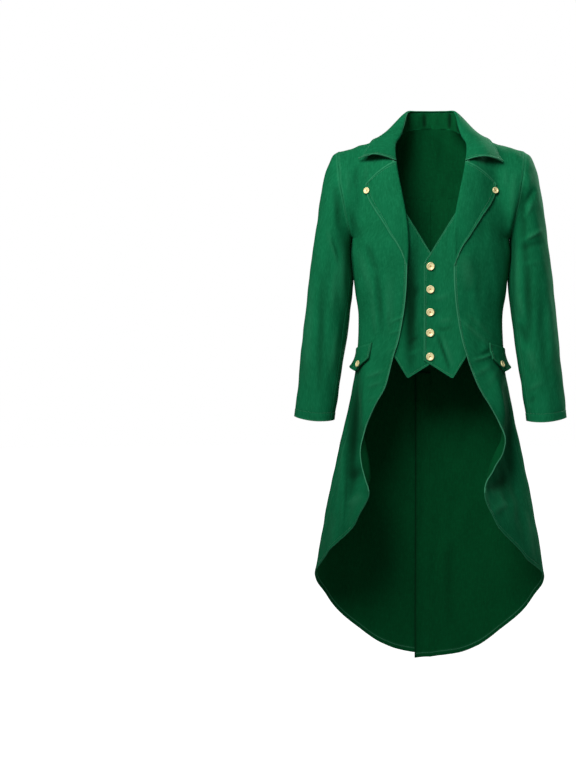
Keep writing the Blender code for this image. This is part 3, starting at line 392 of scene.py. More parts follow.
def sign_of(x):
    """-1 where x is under 0, or else 1."""
    return np.where(x < 0, -1.0, 1.0)


def signed_power(x, p):
    return np.sign(x) * np.abs(x) ** p


def unit(v):
    return v / np.maximum(np.linalg.norm(v, axis=-1, keepdims=True), 1e-12)


def mirrored(points, side):
    """The points on the side given, 1 for the left or -1 for the right, or one side for each point."""
    moved = points.copy()
    moved[..., 0] *= side
    return moved


def angle_of(x, half):
    """The angle at which a squared oval of a given half width lies x to the side."""
    return np.arcsin((np.abs(x) / half) ** (1 / SQUARENESS))


def oval(half, side_y, depth_y, angle):
    """A point on a squared quarter oval: angle 0 is at the middle and a quarter turn is at the side."""
    x = half * signed_power(np.sin(angle), SQUARENESS)
    y = between(side_y, depth_y, signed_power(np.cos(angle), SQUARENESS))
    return np.stack([x, y], axis=-1)


RIDGE_EASE = 0.25  # a half would make the skirt's ridge round; less folds it more sharply
HOLLOW_EASE = 0.3  # the same for the hollow behind it


def fluted(s, half, side_y, z, which):
    """The front quarter of a skirt section, through the side, the hollow, the ridge and the edge."""
    flute = through(FLUTES[which], z)
    side = np.stack([half, side_y], axis=-1)
    hollow, ridge, edge = flute[..., 0:2], flute[..., 2:4], flute[..., 4:6]
    ahead = np.stack([0 * half, -np.linalg.norm(hollow - side, axis=-1)], axis=-1)
    tangents = [ahead, (ridge - side) * HOLLOW_EASE, (edge - hollow) * RIDGE_EASE, edge - ridge]
    points = [side, hollow, ridge, edge]
    u = (s - SIDE_S) / (1 - SIDE_S) * 3
    made = np.zeros(side.shape)
    for k in range(3):  # the curve's three spans; the first and the last also take what lies past them
        here = (u >= k) & ((u < k + 1) | (k == 2)) if k else u < 1
        part = hermite((u - k)[..., None], points[k], points[k + 1], tangents[k], tangents[k + 1])
        made = np.where(here[..., None], part, made)
    return made


def section(s, z, which):
    """The body's outline at a height: x and y at place s round the half body."""
    s, z = np.broadcast_arrays(np.asarray(s, float), np.asarray(z, float))
    half, side_y, back_y, front_y, edge_x = np.moveaxis(through(SECTIONS, z), -1, 0)
    back = oval(half, side_y, back_y, np.pi * s)
    angle = np.pi / 2 - (s - SIDE_S) / (1 - SIDE_S) * (np.pi / 2 - angle_of(edge_x, half))
    plain = oval(half, side_y, front_y, angle)
    share = eased((z - FLUTE_START) / (FLUTE_FULL - FLUTE_START))[..., None]
    front = blended(plain, fluted(s, half, side_y, z, which), share)
    return np.where((s <= SIDE_S)[..., None], back, front)


def armhole(turn):
    """The armhole's loop: turn 0 at the shoulder point, 0.25 at the back, 0.5 underarm, 0.75 at the front."""
    angle = 2 * np.pi * np.asarray(turn, float)
    down = (1 - np.cos(angle)) / 2
    depth = np.where(np.sin(angle) > 0, *ARMHOLE_DEPTH)
    x = between(SHOULDER_HALF, HALF_CHEST, down**ARMHOLE_POWER)
    y = SHOULDER_Y * (1 - down) + depth * np.sin(angle)
    z = -SHOULDER_DROP + (UNDERARM_Z + SHOULDER_DROP) * down
    return np.stack([x, y, z], axis=-1)


def top_edge(s):
    """Where the panels end at the top, and how the cloth leaves, for places s round the half body."""
    s = np.asarray(s, float)[..., None]
    neck = through(NECK_EDGE, s[..., 0])
    neck_point, tip = np.array([NECK_HALF, SHOULDER_Y, 0.0]), armhole(0.0)
    share = np.where(s > SIDE_S, (1 - s) / (1 - SIDE_S), (s - NECK_S) / (SIDE_S - NECK_S))
    back, front = np.array([0.0, OVER_SHOULDER, 0.0]), np.array([0.0, -OVER_SHOULDER, 0.0])
    point = between(neck_point, tip, share)
    leaves = np.where(s > SIDE_S, blended(np.array(ROLL_LEAVES), front, eased(2 * share)), back)
    point = np.where(s < NECK_S, neck[..., :3], point)
    return point, np.where(s < NECK_S, neck[..., 3:], leaves)


def ring(s, which):
    """The body's outline at the underarm, and how the cloth passes it on the way down."""
    here, below = section(s, UNDERARM_Z, which), section(s, UNDERARM_Z - RING_STEP, which)
    point = np.concatenate([here, np.full(here.shape[:-1] + (1,), UNDERARM_Z)], axis=-1)
    down = np.concatenate([(below - here) / RING_STEP, -np.ones(here.shape[:-1] + (1,))], axis=-1)
    return point, down


def yoked(s, u, which):
    """The upper body's surface before the armhole is felt: u from the top edge to the underarm."""
    point, leaves = top_edge(s)
    end, down = ring(s, which)
    return hermite(u[..., None], point, end, leaves, down * RING_PULL * (point - end)[..., 2:])


def body(s, t, which="left"):
    """The coat's smooth outer surface: s round the half body from the centre back, t from top to hem."""
    s, t = np.broadcast_arrays(np.asarray(s, float), np.asarray(t, float))
    side, s = sign_of(s), np.abs(s)
    z = UNDERARM_Z + (through(HEM, s)[..., 0] - UNDERARM_Z) * (t - UNDERARM_T) / (1 - UNDERARM_T)
    low = np.concatenate([section(s, z, which), z[..., None]], axis=-1)
    u = np.clip(t / UNDERARM_T, 0, 1)
    at_side = np.where(s > SIDE_S, SIDE_S + HAIR, SIDE_S)
    hole = armhole(np.where(s > SIDE_S, 1 - u / 2, u / 2))
    felt = eased(1 - np.abs(s - SIDE_S) / ARMHOLE_REACH)[..., None]
    high = yoked(s, u, which) + felt * (hole - yoked(at_side, u, which))
    made = np.where((t < UNDERARM_T)[..., None], high, low)
    made[..., 0] *= side
    return made


def side_seam(t):
    """Where the side seam runs: down the side, and a little to the front in the skirt."""
    return SIDE_S + SIDE_SEAM_FORWARD * eased((t - UNDERARM_T) / SEAM_SWINGS)


def sleeve(w, v):
    """The sleeve's smooth outer surface: w round it from the top through the back, v down it."""
    w, v = np.broadcast_arrays(np.asarray(w, float), np.asarray(v, float))

    def plain(v):
        row = through(SLEEVE, v)
        middle, reach = (row[..., 0:3] + row[..., 3:6]) / 2, (row[..., 0:3] - row[..., 3:6]) / 2
        made = middle + reach * np.cos(2 * np.pi * w)[..., None]
        made[..., 1] += row[..., 6] * np.sin(2 * np.pi * w)
        made[..., 2] -= CUFF_SAG * (np.sin(2 * np.pi * w) * eased(v * 2 - 1)) ** 2
        return made

    return plain(v) + eased(1 - v / SLEEVE_HEAD_V)[..., None] * (armhole(w) - plain(0 * v))


HALVINGS = 30  # of the search for a row


def t_at(s, z):
    """The row t at which the body's surface reaches height z, for each place s."""
    low, high = np.zeros(np.shape(s)), np.ones(np.shape(s))
    for _ in range(HALVINGS):
        middle = (low + high) / 2
        above = body(s, middle)[..., 2] > z
        low, high = np.where(above, middle, low), np.where(above, high, middle)
    return (low + high) / 2


def body_own(s, t, which):
    """The outward unit normals of the body's surface."""
    step = BODY_STEP
    across = body(s + np.where(s > 1 - step, 0, step), t, which) - body(s - step, t, which)
    down = body(s, t + step, which) - body(s, np.maximum(t - step, 0), which)
    return unit(np.cross(across, down))


def sleeve_own(w, v):
    """The outward unit normals of the sleeve's surface."""
    step = SLEEVE_STEP
    across = sleeve(w + step, v) - sleeve(w - step, v)
    down = sleeve(w, v + step) - sleeve(w, np.maximum(v - step, 0))
    return unit(np.cross(down, across))


def beside_armhole(s, t):
    """How near a place on the body is to the armhole's seam, and the turn round the armhole at its height."""
    near = eased(1 - np.abs(np.abs(s) - SIDE_S) / NEAR_HOLE_S) * (t < UNDERARM_T)
    return near, np.clip(0.5 * t / UNDERARM_T, 0, 0.5)


def round_armhole(turn):
    """The way outwards that body and sleeve share along the armhole's seam, and how fully they share it."""
    turn = turn % 1.0
    after = turn > 0.5
    s = np.where(after, SIDE_S + JUST_PAST, SIDE_S - JUST_PAST)
    t = UNDERARM_T * 2 * np.minimum(turn, 1 - turn)
    of_body, of_sleeve = body_own(s, t, "left"), sleeve_own(turn, 0 * t)
    head = eased(1 - HEAD_SHARPNESS * np.minimum(turn, 1 - turn))
    share = np.maximum(head, eased(2 * (of_body * of_sleeve).sum(-1)))
    return unit(blended(unit(of_body + of_sleeve), SEAM_UP, head[..., None])), share


def body_normals(s, t, which="left"):
    """The outward directions of the body's wall, the same for both pieces along each seam."""
    s, t = np.broadcast_arrays(s, t)
    side, s = sign_of(s), np.abs(s)
    near, turn = beside_armhole(s, t)
    shared, share = round_armhole(np.where(s > SIDE_S, 1 - turn, turn))
    made = body_own(s, t, which)
    weight = (share * near)[..., None]
    made = unit(blended(made, shared, weight))
    weight = (eased(1 - (NECK_S - s) / NECK_UP_S) * eased(1 - t / NECK_UP_T))[..., None]
    made = unit(blended(made, SEAM_UP, weight))
    made[..., 0] *= side
    return made


def sleeve_normals(w, v):
    """The outward directions of the sleeve's wall, the body's where the two meet."""
    shared, share = round_armhole(w)
    share = (share * eased(1 - v / NEAR_HOLE_V))[..., None]
    return unit(blended(sleeve_own(w, v), shared, share))


def linear(code):
    """An sRGB hex colour as the linear numbers that a shader takes."""
    parts = [int(code[i : i + 2], 16) / 255 for i in (0, 2, 4)]
    return [c / 12.92 if c <= 0.04045 else ((c + 0.055) / 1.055) ** 2.4 for c in parts]


def metres(name, description, default):
    """A length in metres for the panel."""
    return FloatProperty(name=name, description=description, default=default, unit="LENGTH")


def tint(name, description, default):
    """A colour for the panel, from sRGB hex."""
    return FloatVectorProperty(
        name=name, description=description, default=linear(default), subtype="COLOR", size=3
    )


class CoatSizes(bpy.types.PropertyGroup):
    """The sizes of the coat's cloth and sewing."""

    pitch: metres("Mesh pitch", "Distance between the mesh's lines", 0.004)
    cloth: metres("Cloth", "Thickness of one panel with its facing", 0.002)
    leaf: metres("Doubled cloth", "Thickness of collar, lapels, flaps and strap", 0.003)
    lie: metres("Clearance", "Room between a piece and what it lies on", 0.0007)
    crease: FloatProperty(
        name="Creases", description="Depth of the creases as a share of the tables'", default=1.6,
        min=0, max=3,
    )
    edge_stitch: metres("Edge stitching", "From a finished edge to its row of stitches", 0.006)
    hem_stitch: metres("Hem stitching", "From the skirt's hem to its row of stitches", 0.011)
    cuff_stitch: metres("Cuff stitching", "From the cuff to its row of stitches", 0.019)
    stitch_length: metres("Stitch", "Length of one stitch", 0.0031)
    stitch_pitch: metres("Stitch spacing", "From one stitch to the next", 0.0040)
    thread: metres("Thread", "Width of the sewing thread", 0.0006)
    button_thick: metres("Button", "Thickness of a button", 0.0042)
    button_steps: IntProperty(
        name="Button steps", description="Sides of a turned button", default=48, min=12, max=96
    )


class CoatColours(bpy.types.PropertyGroup):
    """The colours of the coat's cloth, thread and buttons."""

    cloth: tint("Cloth", "Face of the twill", "0a6841")
    cloth_light: tint("Light yarn", "Raised yarns and pressed edges", "1b7b51")
    # The dark yarn also paints the shade in seams and stitch grooves; SHADE_OF_DARK of it is the painted
    # shade in hollows.
    cloth_dark: tint("Dark yarn", "Sunken yarns and seams", "014726")
    # Painted highlight: the pale colour along finished edges, seam turnings and crease crests.
    edge_highlight: tint("Edge highlight", "Painted highlight along edges", "4f9f79")
    # The reverse's darker colour is painted shade for the inside of the coat.
    reverse: tint("Reverse", "Back of the twill", "024f28")
    thread: tint("Thread", "Sewing thread", "3d9069")
    button: tint("Button", "Plated face of a button", "eedfa6")
    button_centre: tint("Button centre", "Worn middle of a button", "b98a4c")
    floor: tint("Floor", "Studio floor", "f4f4f4")


outsides = {}  # each piece's outer sheet of points


def sizes():
    return bpy.context.scene.coat_sizes


def colours():
    return bpy.context.scene.coat_colours


def add(tree, kind, inputs=(), **settings):
    """A node with its settings, and its inputs by name as values or as the outputs of other nodes."""
    node = tree.nodes.new(kind)
    for name, value in settings.items():
        setattr(node, name, value)
    for name, value in dict(inputs).items():
        if isinstance(value, bpy.types.NodeSocket):
            tree.links.new(value, node.inputs[name])
        else:
            node.inputs[name].default_value = value
    return node


def started(name, **shader_values):
    """A new Principled material, its tree and its shader."""
    material = bpy.data.materials.new(name)
    material.use_nodes = True
    tree = material.node_tree
    shader = tree.nodes["Principled BSDF"]
    for socket, value in shader_values.items():
        shader.inputs[socket.replace("_", " ")].default_value = value
    return material, tree, shader


TWILL_NOISE = (
    # layer, width and length in metres, detail
    ("slub", 0.0022, 0.026, 2.0),  # thicker yarns down the cloth, as wide as they need to be to show
    ("pick", 0.016, 0.0020, 1.0),  # uneven yarns across it
    ("blotch", 0.060, 0.095, 3.0),  # unevenness of the dye
    ("fleck", 0.007, 0.010, 2.0),  # small unevenness, where the cloth is rubbed
)
RIB_PITCH = 0.0014  # the twill's slanting ribs; real ones stand 0.6 mm apart, too fine to show
RIB_SLANT = -62.0  # degrees
WAVE_PERIOD = math.pi / 10  # of Blender's bands at a scale of 1
TWILL_LAYERS = (
    # driver, its low and high, how much of the colour goes in at each, colour
    ("blotch", 0.30, 0.70, 0.00, 0.42, "dark"),
    ("fleck", 0.48, 0.72, 0.00, 0.35, "light"),
    ("slub", 0.46, 0.78, 0.00, 0.40, "light"),
    ("slub", 0.44, 0.22, 0.00, 0.30, "dark"),
    ("pick", 0.48, 0.78, 0.00, 0.25, "light"),
    ("ribs", 0.00, 1.00, 0.14, 0.00, "dark"),
    # painted highlight along finished edges, seam turnings and crease crests
    ("edge", 0.00, 1.00, 0.00, 0.60, "edge"),
    # painted shade in seam and stitch grooves
    ("seam", 0.00, 1.00, 0.00, 0.35, "dark"),
    ("hollow", 0.00, 1.00, 0.00, 0.85, "shade"),
)
SHADE_OF_DARK = 0.30  # how light the cloth is in a hollow, as a share of its dark yarn
TWILL_HEIGHTS = (("slub", 0.9), ("pick", 0.5), ("ribs", 0.35))  # shares of the relief
RELIEF, RELIEF_STRENGTH = 0.00030, 0.55  # depth of the yarns' relief, and how much of it the light takes
REVERSE_LIGHT, REVERSE_DARK = 1.5, 0.6  # the reverse's light and dark yarns, as shares of its colour


def twill(name, colour, light, dark, highlight):
    """Cotton twill: it gives the eye a matt cloth with slanting ribs and uneven yarns down it, a painted
    highlight along its finished edges, seam turnings and crease crests, and painted shade in its seams and
    hollows.
    """
    material, tree, shader = started(
        name, Roughness=0.86, Sheen_Weight=0.04, Sheen_Roughness=0.45, Sheen_Tint=(*light, 1),
        Specular_IOR_Level=0.06,
    )
    cloth = add(tree, "ShaderNodeUVMap", uv_map="cloth").outputs["UV"]
    drivers = {}
    for layer, width, length, detail in TWILL_NOISE:
        place = add(tree, "ShaderNodeMapping", {"Vector": cloth, "Scale": (1 / width, 1 / length, 1)})
        grain = {"Vector": place.outputs["Vector"], "Scale": 1.0, "Detail": detail}
        drivers[layer] = add(tree, "ShaderNodeTexNoise", grain).outputs["Fac"]
    turned = add(tree, "ShaderNodeMapping", {"Vector": cloth, "Rotation": (0, 0, math.radians(RIB_SLANT))})
    ribs = {"Vector": turned.outputs["Vector"], "Scale": WAVE_PERIOD / RIB_PITCH, "Distortion": 0.6}
    drivers["ribs"] = add(tree, "ShaderNodeTexWave", ribs, bands_direction="X").outputs["Fac"]
    for layer in ("edge", "seam", "hollow"):
        drivers[layer] = add(tree, "ShaderNodeAttribute", attribute_name=layer).outputs["Fac"]
    shaded = (SHADE_OF_DARK * c for c in dark)
    yarns = {"light": (*light, 1), "dark": (*dark, 1), "edge": (*highlight, 1), "shade": (*shaded, 1)}
    shade = (*colour, 1)
    for layer, low, high, at_low, at_high, yarn in TWILL_LAYERS:
        ends = {"From Min": low, "From Max": high, "To Min": at_low, "To Max": at_high}
        share = add(tree, "ShaderNodeMapRange", {"Value": drivers[layer], **ends}).outputs["Result"]
        shade = add(tree, "ShaderNodeMix", {0: share, 6: shade, 7: yarns[yarn]}, data_type="RGBA").outputs[2]
    tree.links.new(shade, shader.inputs["Base Color"])
    height = 0.0
    for layer, share in TWILL_HEIGHTS:
        raised = {0: drivers[layer], 1: share, 2: height}
        height = add(tree, "ShaderNodeMath", raised, operation="MULTIPLY_ADD").outputs[0]
    bump = add(tree, "ShaderNodeBump", {"Height": height, "Strength": RELIEF_STRENGTH, "Distance": RELIEF})
    tree.links.new(bump.outputs["Normal"], shader.inputs["Normal"])
    return material


WORN_TO, PLATED_FROM = 0.16, 0.30  # of a button's radius: the end of its worn middle, the start of the plate
LATHE_PITCH, LATHE_RELIEF = 0.05, 0.00004  # the rings' spacing in radii, and their depth
PLATE_ROUGHNESS = (0.28, 0.42)  # in the rings and on them


def plated():
    """Pale gold plate over a turned button: it gives the eye a satin metal with a worn centre and the faint
    rings of the lathe.
    """
    palette = colours()
    material, tree, shader = started(
        "plated_button", Metallic=0.18, Coat_Weight=0.25, Coat_Roughness=0.2
    )
    place = add(tree, "ShaderNodeUVMap", uv_map="turned").outputs["UV"]
    out = add(tree, "ShaderNodeSeparateXYZ", {"Vector": place}).outputs["X"]
    ramp = add(tree, "ShaderNodeValToRGB", {"Fac": out})
    stops = ramp.color_ramp.elements
    stops[0].position, stops[0].color = WORN_TO, (*palette.button_centre, 1)
    stops[1].position, stops[1].color = PLATED_FROM, (*palette.button, 1)
    tree.links.new(ramp.outputs["Color"], shader.inputs["Base Color"])
    turning = {"Vector": place, "Scale": WAVE_PERIOD / LATHE_PITCH, "Distortion": 0.3}
    rings = add(tree, "ShaderNodeTexWave", turning, bands_direction="X").outputs["Fac"]
    ends = {"To Min": PLATE_ROUGHNESS[0], "To Max": PLATE_ROUGHNESS[1]}
    rubbed = add(tree, "ShaderNodeMapRange", {"Value": rings, **ends}).outputs["Result"]
    tree.links.new(rubbed, shader.inputs["Roughness"])
    bump = add(tree, "ShaderNodeBump", {"Height": rings, "Strength": 0.3, "Distance": LATHE_RELIEF})
    tree.links.new(bump.outputs["Normal"], shader.inputs["Normal"])
    return material


PLY = 0.0004  # length of a thread's plies
PLY_DARK = 0.75  # how light the thread is between them


def spun_thread():
    """Spun sewing thread: it gives the eye small pale dashes with a soft lustre, darker between the plies."""
    pale = colours().thread
    material, tree, shader = started("spun_thread", Roughness=0.55, Sheen_Weight=0.3)
    place = add(tree, "ShaderNodeTexCoord").outputs["Object"]
    plies = add(tree, "ShaderNodeTexNoise", {"Vector": place, "Scale": 1 / PLY, "Detail": 1.0}).outputs["Fac"]
    ramp = add(tree, "ShaderNodeValToRGB", {"Fac": plies})
    ramp.color_ramp.elements[0].color = (*(PLY_DARK * c for c in pale), 1)
    ramp.color_ramp.elements[1].color = (*pale, 1)
    tree.links.new(ramp.outputs["Color"], shader.inputs["Base Color"])
    return material


def twill_face():
    palette = colours()
    return twill(
        "cotton_twill", palette.cloth, palette.cloth_light, palette.cloth_dark, palette.edge_highlight
    )


# The twill's back, painted darker to stand for the shade inside the coat.
def twill_reverse_in_shade():
    back = colours().reverse
    light, dark = [REVERSE_LIGHT * c for c in back], [REVERSE_DARK * c for c in back]
    return twill("cotton_twill_shaded_reverse", back, light, dark, colours().edge_highlight)


def material_of(kind):
    """One of the coat's materials, made when it is first asked for."""
    makers = {
        "cotton_twill": twill_face, "cotton_twill_shaded_reverse": twill_reverse_in_shade, "plated_button": plated,
        "spun_thread": spun_thread, "painted_floor": painted_floor,
    }
    return bpy.data.materials.get(kind) or makers[kind]()


def face_out(bm):
    """Turns the faces of a closed mesh outward."""
    if bm.calc_volume(signed=True) < 0:
        bmesh.ops.reverse_faces(bm, faces=bm.faces[:])


def finished(bm, name, *kinds):
    """The mesh that has been built, under its name and with its materials."""
    mesh = bpy.data.meshes.new(name)
    bm.to_mesh(mesh)
    bm.free()
    for kind in kinds:
        mesh.materials.append(material_of(kind))
    return mesh


def placed(name, data, at=(0, 0, 0), turn=(0, 0, 0)):
    """A new object in the scene."""
    obj = bpy.data.objects.new(name, data)
    obj.location, obj.rotation_euler = at, turn
    bpy.context.scene.collection.objects.link(obj)
    return obj


def put(prefix, mesh, node, stands_for=True):
    """Links a piece of a node's, and has it ride on the body and stand for the node if it is to."""
    obj = placed(f"{prefix}_{node}", mesh)
    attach(obj, "root")
    if stands_for:
        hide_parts(node)
    return obj


LINES_APART = 0.4  # of the pitch: an even line closer than this to one put in is left out


def spread(length, near_start=(), near_end=()):
    """Shares of a length at the mesh's pitch, with lines put in at distances from its two ends."""
    even = np.linspace(0, 1, max(3, round(length / sizes().pitch)) + 1)
    wanted = np.array([d / length for d in near_start] + [1 - d / length for d in near_end])
    apart = LINES_APART * sizes().pitch / length
    kept = [e for e in even if e in (0.0, 1.0) or not len(wanted) or np.abs(wanted - e).min() > apart]
    return np.array(sorted({*kept, *wanted}))


FOLD_LINES = (0.0007, 0.0018)  # close lines that round a finished or a sewn edge
ROW_LINE = 0.0012  # from a row of stitches to the lines on its two sides


def by_edge(stitch=None):
    """Distances from an edge at which the mesh needs a line, for a row of stitches at one of them."""
    return FOLD_LINES if stitch is None else (*FOLD_LINES, stitch - ROW_LINE, stitch, stitch + ROW_LINE)


FADE_POWER, LEAN_WIDTH = 0.8, 1.5  # how a crease fades to its ends, and how sharply a leaning one turns
FACING = 1.8  # cloth turned as far as 1 / this to the front or the back has that side's creases in full
FADES_IN = 20  # over 1 / this of a turn round the armhole the creases beside it fade out


def crease_rise(rows, x, z):
    """How far the listed creases raise the cloth at places x and z, in metres."""
    rise = np.zeros(np.shape(x))
    for x0, z0, x1, z1, width, height, lean in rows:
        run = np.array([x1 - x0, z1 - z0]) * CM
        length = math.hypot(*run)
        from_start = x - x0 * CM, z - z0 * CM
        along = (from_start[0] * run[0] + from_start[1] * run[1]) / length**2
        across = (from_start[0] * run[1] - from_start[1] * run[0]) / length / (width * MM)
        fade = np.sin(np.pi * np.clip(along, 0, 1)) ** FADE_POWER
        rise += height * MM * bell(across) * (1 + lean * np.tanh(LEAN_WIDTH * across)) * fade
    return rise


def left_beside_armhole(turn, near):
    """The share of the back's creases left beside the armhole, where body and sleeve turn different ways."""
    return 1 - near**3 * eased((turn - HEAD_END) * FADES_IN)


def hung(points, normals, front=None, back=None, ripple=1.0, back_share=1.0):
    """Cloth with its creases and ripples put in along its normals, and how far its creases alone raise it."""
    x, y, z = np.moveaxis(points, -1, 0)
    ahead, behind = eased(-FACING * normals[..., 1]), eased(FACING * normals[..., 1]) * back_share
    creased = np.zeros(x.shape)
    for rows, facing in ((front, ahead), (back, behind)):
        if rows is not None:
            creased += crease_rise(rows, x, z) * facing
    rise = creased.copy()
    for over_x, over_y, over_z, phase, height in RIPPLES:
        wave = np.sin(2 * np.pi * (over_x * x + over_y * y + over_z * z) + phase)
        rise += height * MM * ripple * wave
    return points + normals * (rise * sizes().crease)[..., None], creased


ALL_FRONT = np.concatenate([FRONT_CREASES, SLEEVE_FRONT_CREASES])
ALL_BACK = np.concatenate([BACK_CREASES, SLEEVE_BACK_CREASES])


def coat_cloth(s, t, which):
    """The body's creased surface, how far its creases raise it and its outward directions."""
    points, normals = body(s, t, which), body_normals(s, t, which)
    world, facing = mirrored(points, SIDES[which]), mirrored(normals, SIDES[which])
    near, turn = beside_armhole(s, t)
    share = left_beside_armhole(turn, near)
    return *hung(world, facing, ALL_FRONT, ALL_BACK, back_share=share), facing


def sleeve_cloth(w, v, which):
    """The sleeve's creased surface, how far its creases raise it and its outward directions."""
    side = SIDES[which]
    world, facing = mirrored(sleeve(w, v), side), mirrored(sleeve_normals(w, v), side)
    share = left_beside_armhole(w, eased(1 - v / NEAR_HOLE_V))
    return *hung(world, facing, ALL_FRONT, ALL_BACK, back_share=share), facing


def edge_distances(points):
    """How far each point of a sheet is from its top, bottom, first and last edges, along the sheet."""
    down = np.cumsum(np.linalg.norm(np.diff(points, axis=0), axis=-1), axis=0)
    down = np.vstack([np.zeros((1, points.shape[1])), down])
    across = np.cumsum(np.linalg.norm(np.diff(points, axis=1), axis=-1), axis=1)
    across = np.hstack([np.zeros((points.shape[0], 1)), across])
    return {"top": down, "bottom": down[-1:] - down, "first": across, "last": across[:, -1:] - across}


SEWN_DEPTH, SEWN_WIDTH = 0.0007, 0.0016  # of the groove at a seam
SEAM_RIDGE, SEAM_RIDGE_AT, SEAM_RIDGE_WIDTH = 0.0004, 0.0036, 0.0020  # of the turnings beside a seam
# Each seam's depth, the darkness of its painted shade, and the painted highlight on the turnings beside it.
SEAMS = {"sewn": (1.0, 1.0, 0.10), "soft": (0.3, 0.25, 0.22)}  # how deep, how dark and how pale beside it
SEAM_INSIDE = 0.35  # how dark a seam is on the cloth's reverse, beside its outside
CREST_HIGHLIGHT, CREST_FULL = 0.20, 0.0030  # a crest's painted highlight, and the height that gives it fully
HOLLOW_FULL = 0.0044  # the depth of a crease that is fully in shade
HEM_HIGHLIGHT = 0.45  # how strong a hem's painted highlight is, beside another finished edge's 1
SHADE_WIDTH = 0.0040  # of the shade along an edge that lies under other cloth
STITCH_DEPTH, STITCH_WIDTH = 0.00045, 0.0011  # of the groove that a row of stitches pulls in
EDGE_WIDTH = 0.0021  # of the painted highlight along a finished edge
ROW_HIGHLIGHT = 0.6  # how strong the painted highlight is along the hem's row of stitches inside
TURNING = 0.0005  # how much a turned edge is plumper than the cloth
PUCKER, PUCKER_PITCH = 0.00022, 0.0085  # height and length of the small waves that sewing draws up
PUCKER_WIDTH = {"seam": 0.006, "row": 0.005}  # how far they reach from a seam and from a row of stitches
ROW_PUCKER, ROW_DARK = 0.6, 0.5  # how strong they are along a row, and its groove's painted shade, beside a seam's 1
TURNING_ENDS = 0.002  # within this distance before its row of stitches a turned edge thins to one cloth


def sewn_rise(points, edges, creased, pale):
    """How far sewing raises a sheet, and its marks: how near each point is to a finished edge, to a seam and
    to the bottom of a hollow. The marks paint light and shade on the cloth: a painted highlight beside
    finished edges, seam turnings and crease crests, and painted shade in seams, stitch grooves, hollows and
    along edges that lie under other cloth.
    """
    rise = np.zeros(points.shape[:2])
    sewn, seam = rise.copy(), rise.copy()
    edge = rise + CREST_HIGHLIGHT * np.clip(creased / CREST_FULL, 0, 1)
    hollow = rise + np.clip(-creased / HOLLOW_FULL, 0, 1)
    distances = edge_distances(points)
    for side, kind in edges.items():
        far = distances[side]
        along = distances["top" if side in ("first", "last") else "first"]
        waves = np.sin(2 * np.pi * along / PUCKER_PITCH)
        if kind in SEAMS:
            deep, dark, edge_light = SEAMS[kind]
            groove = bell(far / SEWN_WIDTH)
            pucker = waves * bell(far / PUCKER_WIDTH["seam"])
            ridge = bell((far - SEAM_RIDGE_AT) / SEAM_RIDGE_WIDTH)
            rise += PUCKER * pucker - deep * SEWN_DEPTH * groove + SEAM_RIDGE * ridge
            sewn = np.maximum(sewn, groove)
            seam = np.maximum(seam, dark * groove)
            edge = np.maximum(edge, edge_light * ridge)
        elif kind == "shaded":
            hollow = np.maximum(hollow, bell(far / SHADE_WIDTH))
        elif kind:
            groove = bell((far - kind) / STITCH_WIDTH)
            pucker = waves * bell((far - kind) / PUCKER_WIDTH["row"])
            turned = TURNING * eased((kind - far) / TURNING_ENDS)
            rise += turned - STITCH_DEPTH * groove + PUCKER * ROW_PUCKER * pucker
            # A finished edge gets a painted highlight beside it; a pale under 0 gives painted shade there
            # instead.
            edge_light = pale * (HEM_HIGHLIGHT if side == "bottom" else 1.0)
            beside = bell(far / EDGE_WIDTH)
            edge = np.maximum(edge, edge_light * beside)
            hollow = np.maximum(hollow, -edge_light * beside)
            seam = np.maximum(seam, ROW_DARK * groove)
    return rise, {"edge": edge, "seam": seam, "sewn": sewn, "hollow": hollow}


RIM_TURN = 0.6  # faces whose normals' product is under this meet at a rim
OPEN_SEAM = 0.9  # a rim as sewn as this runs into its neighbour, and keeps its square corner
ROUNDING = 0.3  # of a rim's two corners, as a share of the cloth's thickness


def grid_mesh(name, outer, inner, marks, inside, rounding, kinds):
    """A closed wall between two surfaces, with its UV map in metres, its marks and its rim rounded."""
    rows, columns = outer.shape[:2]
    bm = bmesh.new()
    uv_layer = bm.loops.layers.uv.new("cloth")
    layers = {mark: bm.verts.layers.float.new(mark) for mark in marks}
    place = bm.verts.layers.int.new("place")
    bmesh.ops.create_grid(bm, x_segments=columns - 1, y_segments=rows - 1, size=1)
    outer_at, inner_at = outer.reshape(-1, 3), inner.reshape(-1, 3)
    for vert in bm.verts:
        column = round((vert.co.x + 1) / 2 * (columns - 1))
        row = round((1 - vert.co.y) / 2 * (rows - 1))
        here = row * columns + column
        vert[place] = here
        for mark, layer in layers.items():
            vert[layer] = marks[mark].flat[here]
        vert.co = outer_at[here]
    bm.faces.ensure_lookup_table()
    extruded = bmesh.ops.extrude_face_region(bm, geom=bm.faces[:], use_keep_orig=True)
    for made in extruded["geom"]:
        if isinstance(made, bmesh.types.BMVert):
            made.co = inner_at[made[place]]
            for mark, values in inside.items():
                made[layers[mark]] = values.flat[made[place]]
        elif isinstance(made, bmesh.types.BMFace):
            made.material_index = 1
    bmesh.ops.recalc_face_normals(bm, faces=bm.faces[:])
    face_out(bm)
    distances = edge_distances(outer)
    across = distances["first"].reshape(-1)
    down = distances["top"].reshape(-1)
    for face in bm.faces:
        for loop in face.loops:
            here = loop.vert[place]
            loop[uv_layer].uv = (across[here], -down[here])
    sewn = layers["sewn"]
    rim = [
        e for e in bm.edges
        if e.link_faces[0].normal.dot(e.link_faces[1].normal) < RIM_TURN
        and min(v[sewn] for v in e.verts) < OPEN_SEAM
    ]
    bmesh.ops.bevel(
        bm, geom=rim, offset=rounding, segments=2, profile=0.5, affect="EDGES", material=-1,
        clamp_overlap=True,
    )
    for face in bm.faces:
        face.smooth = True
    return finished(bm, name, *kinds)


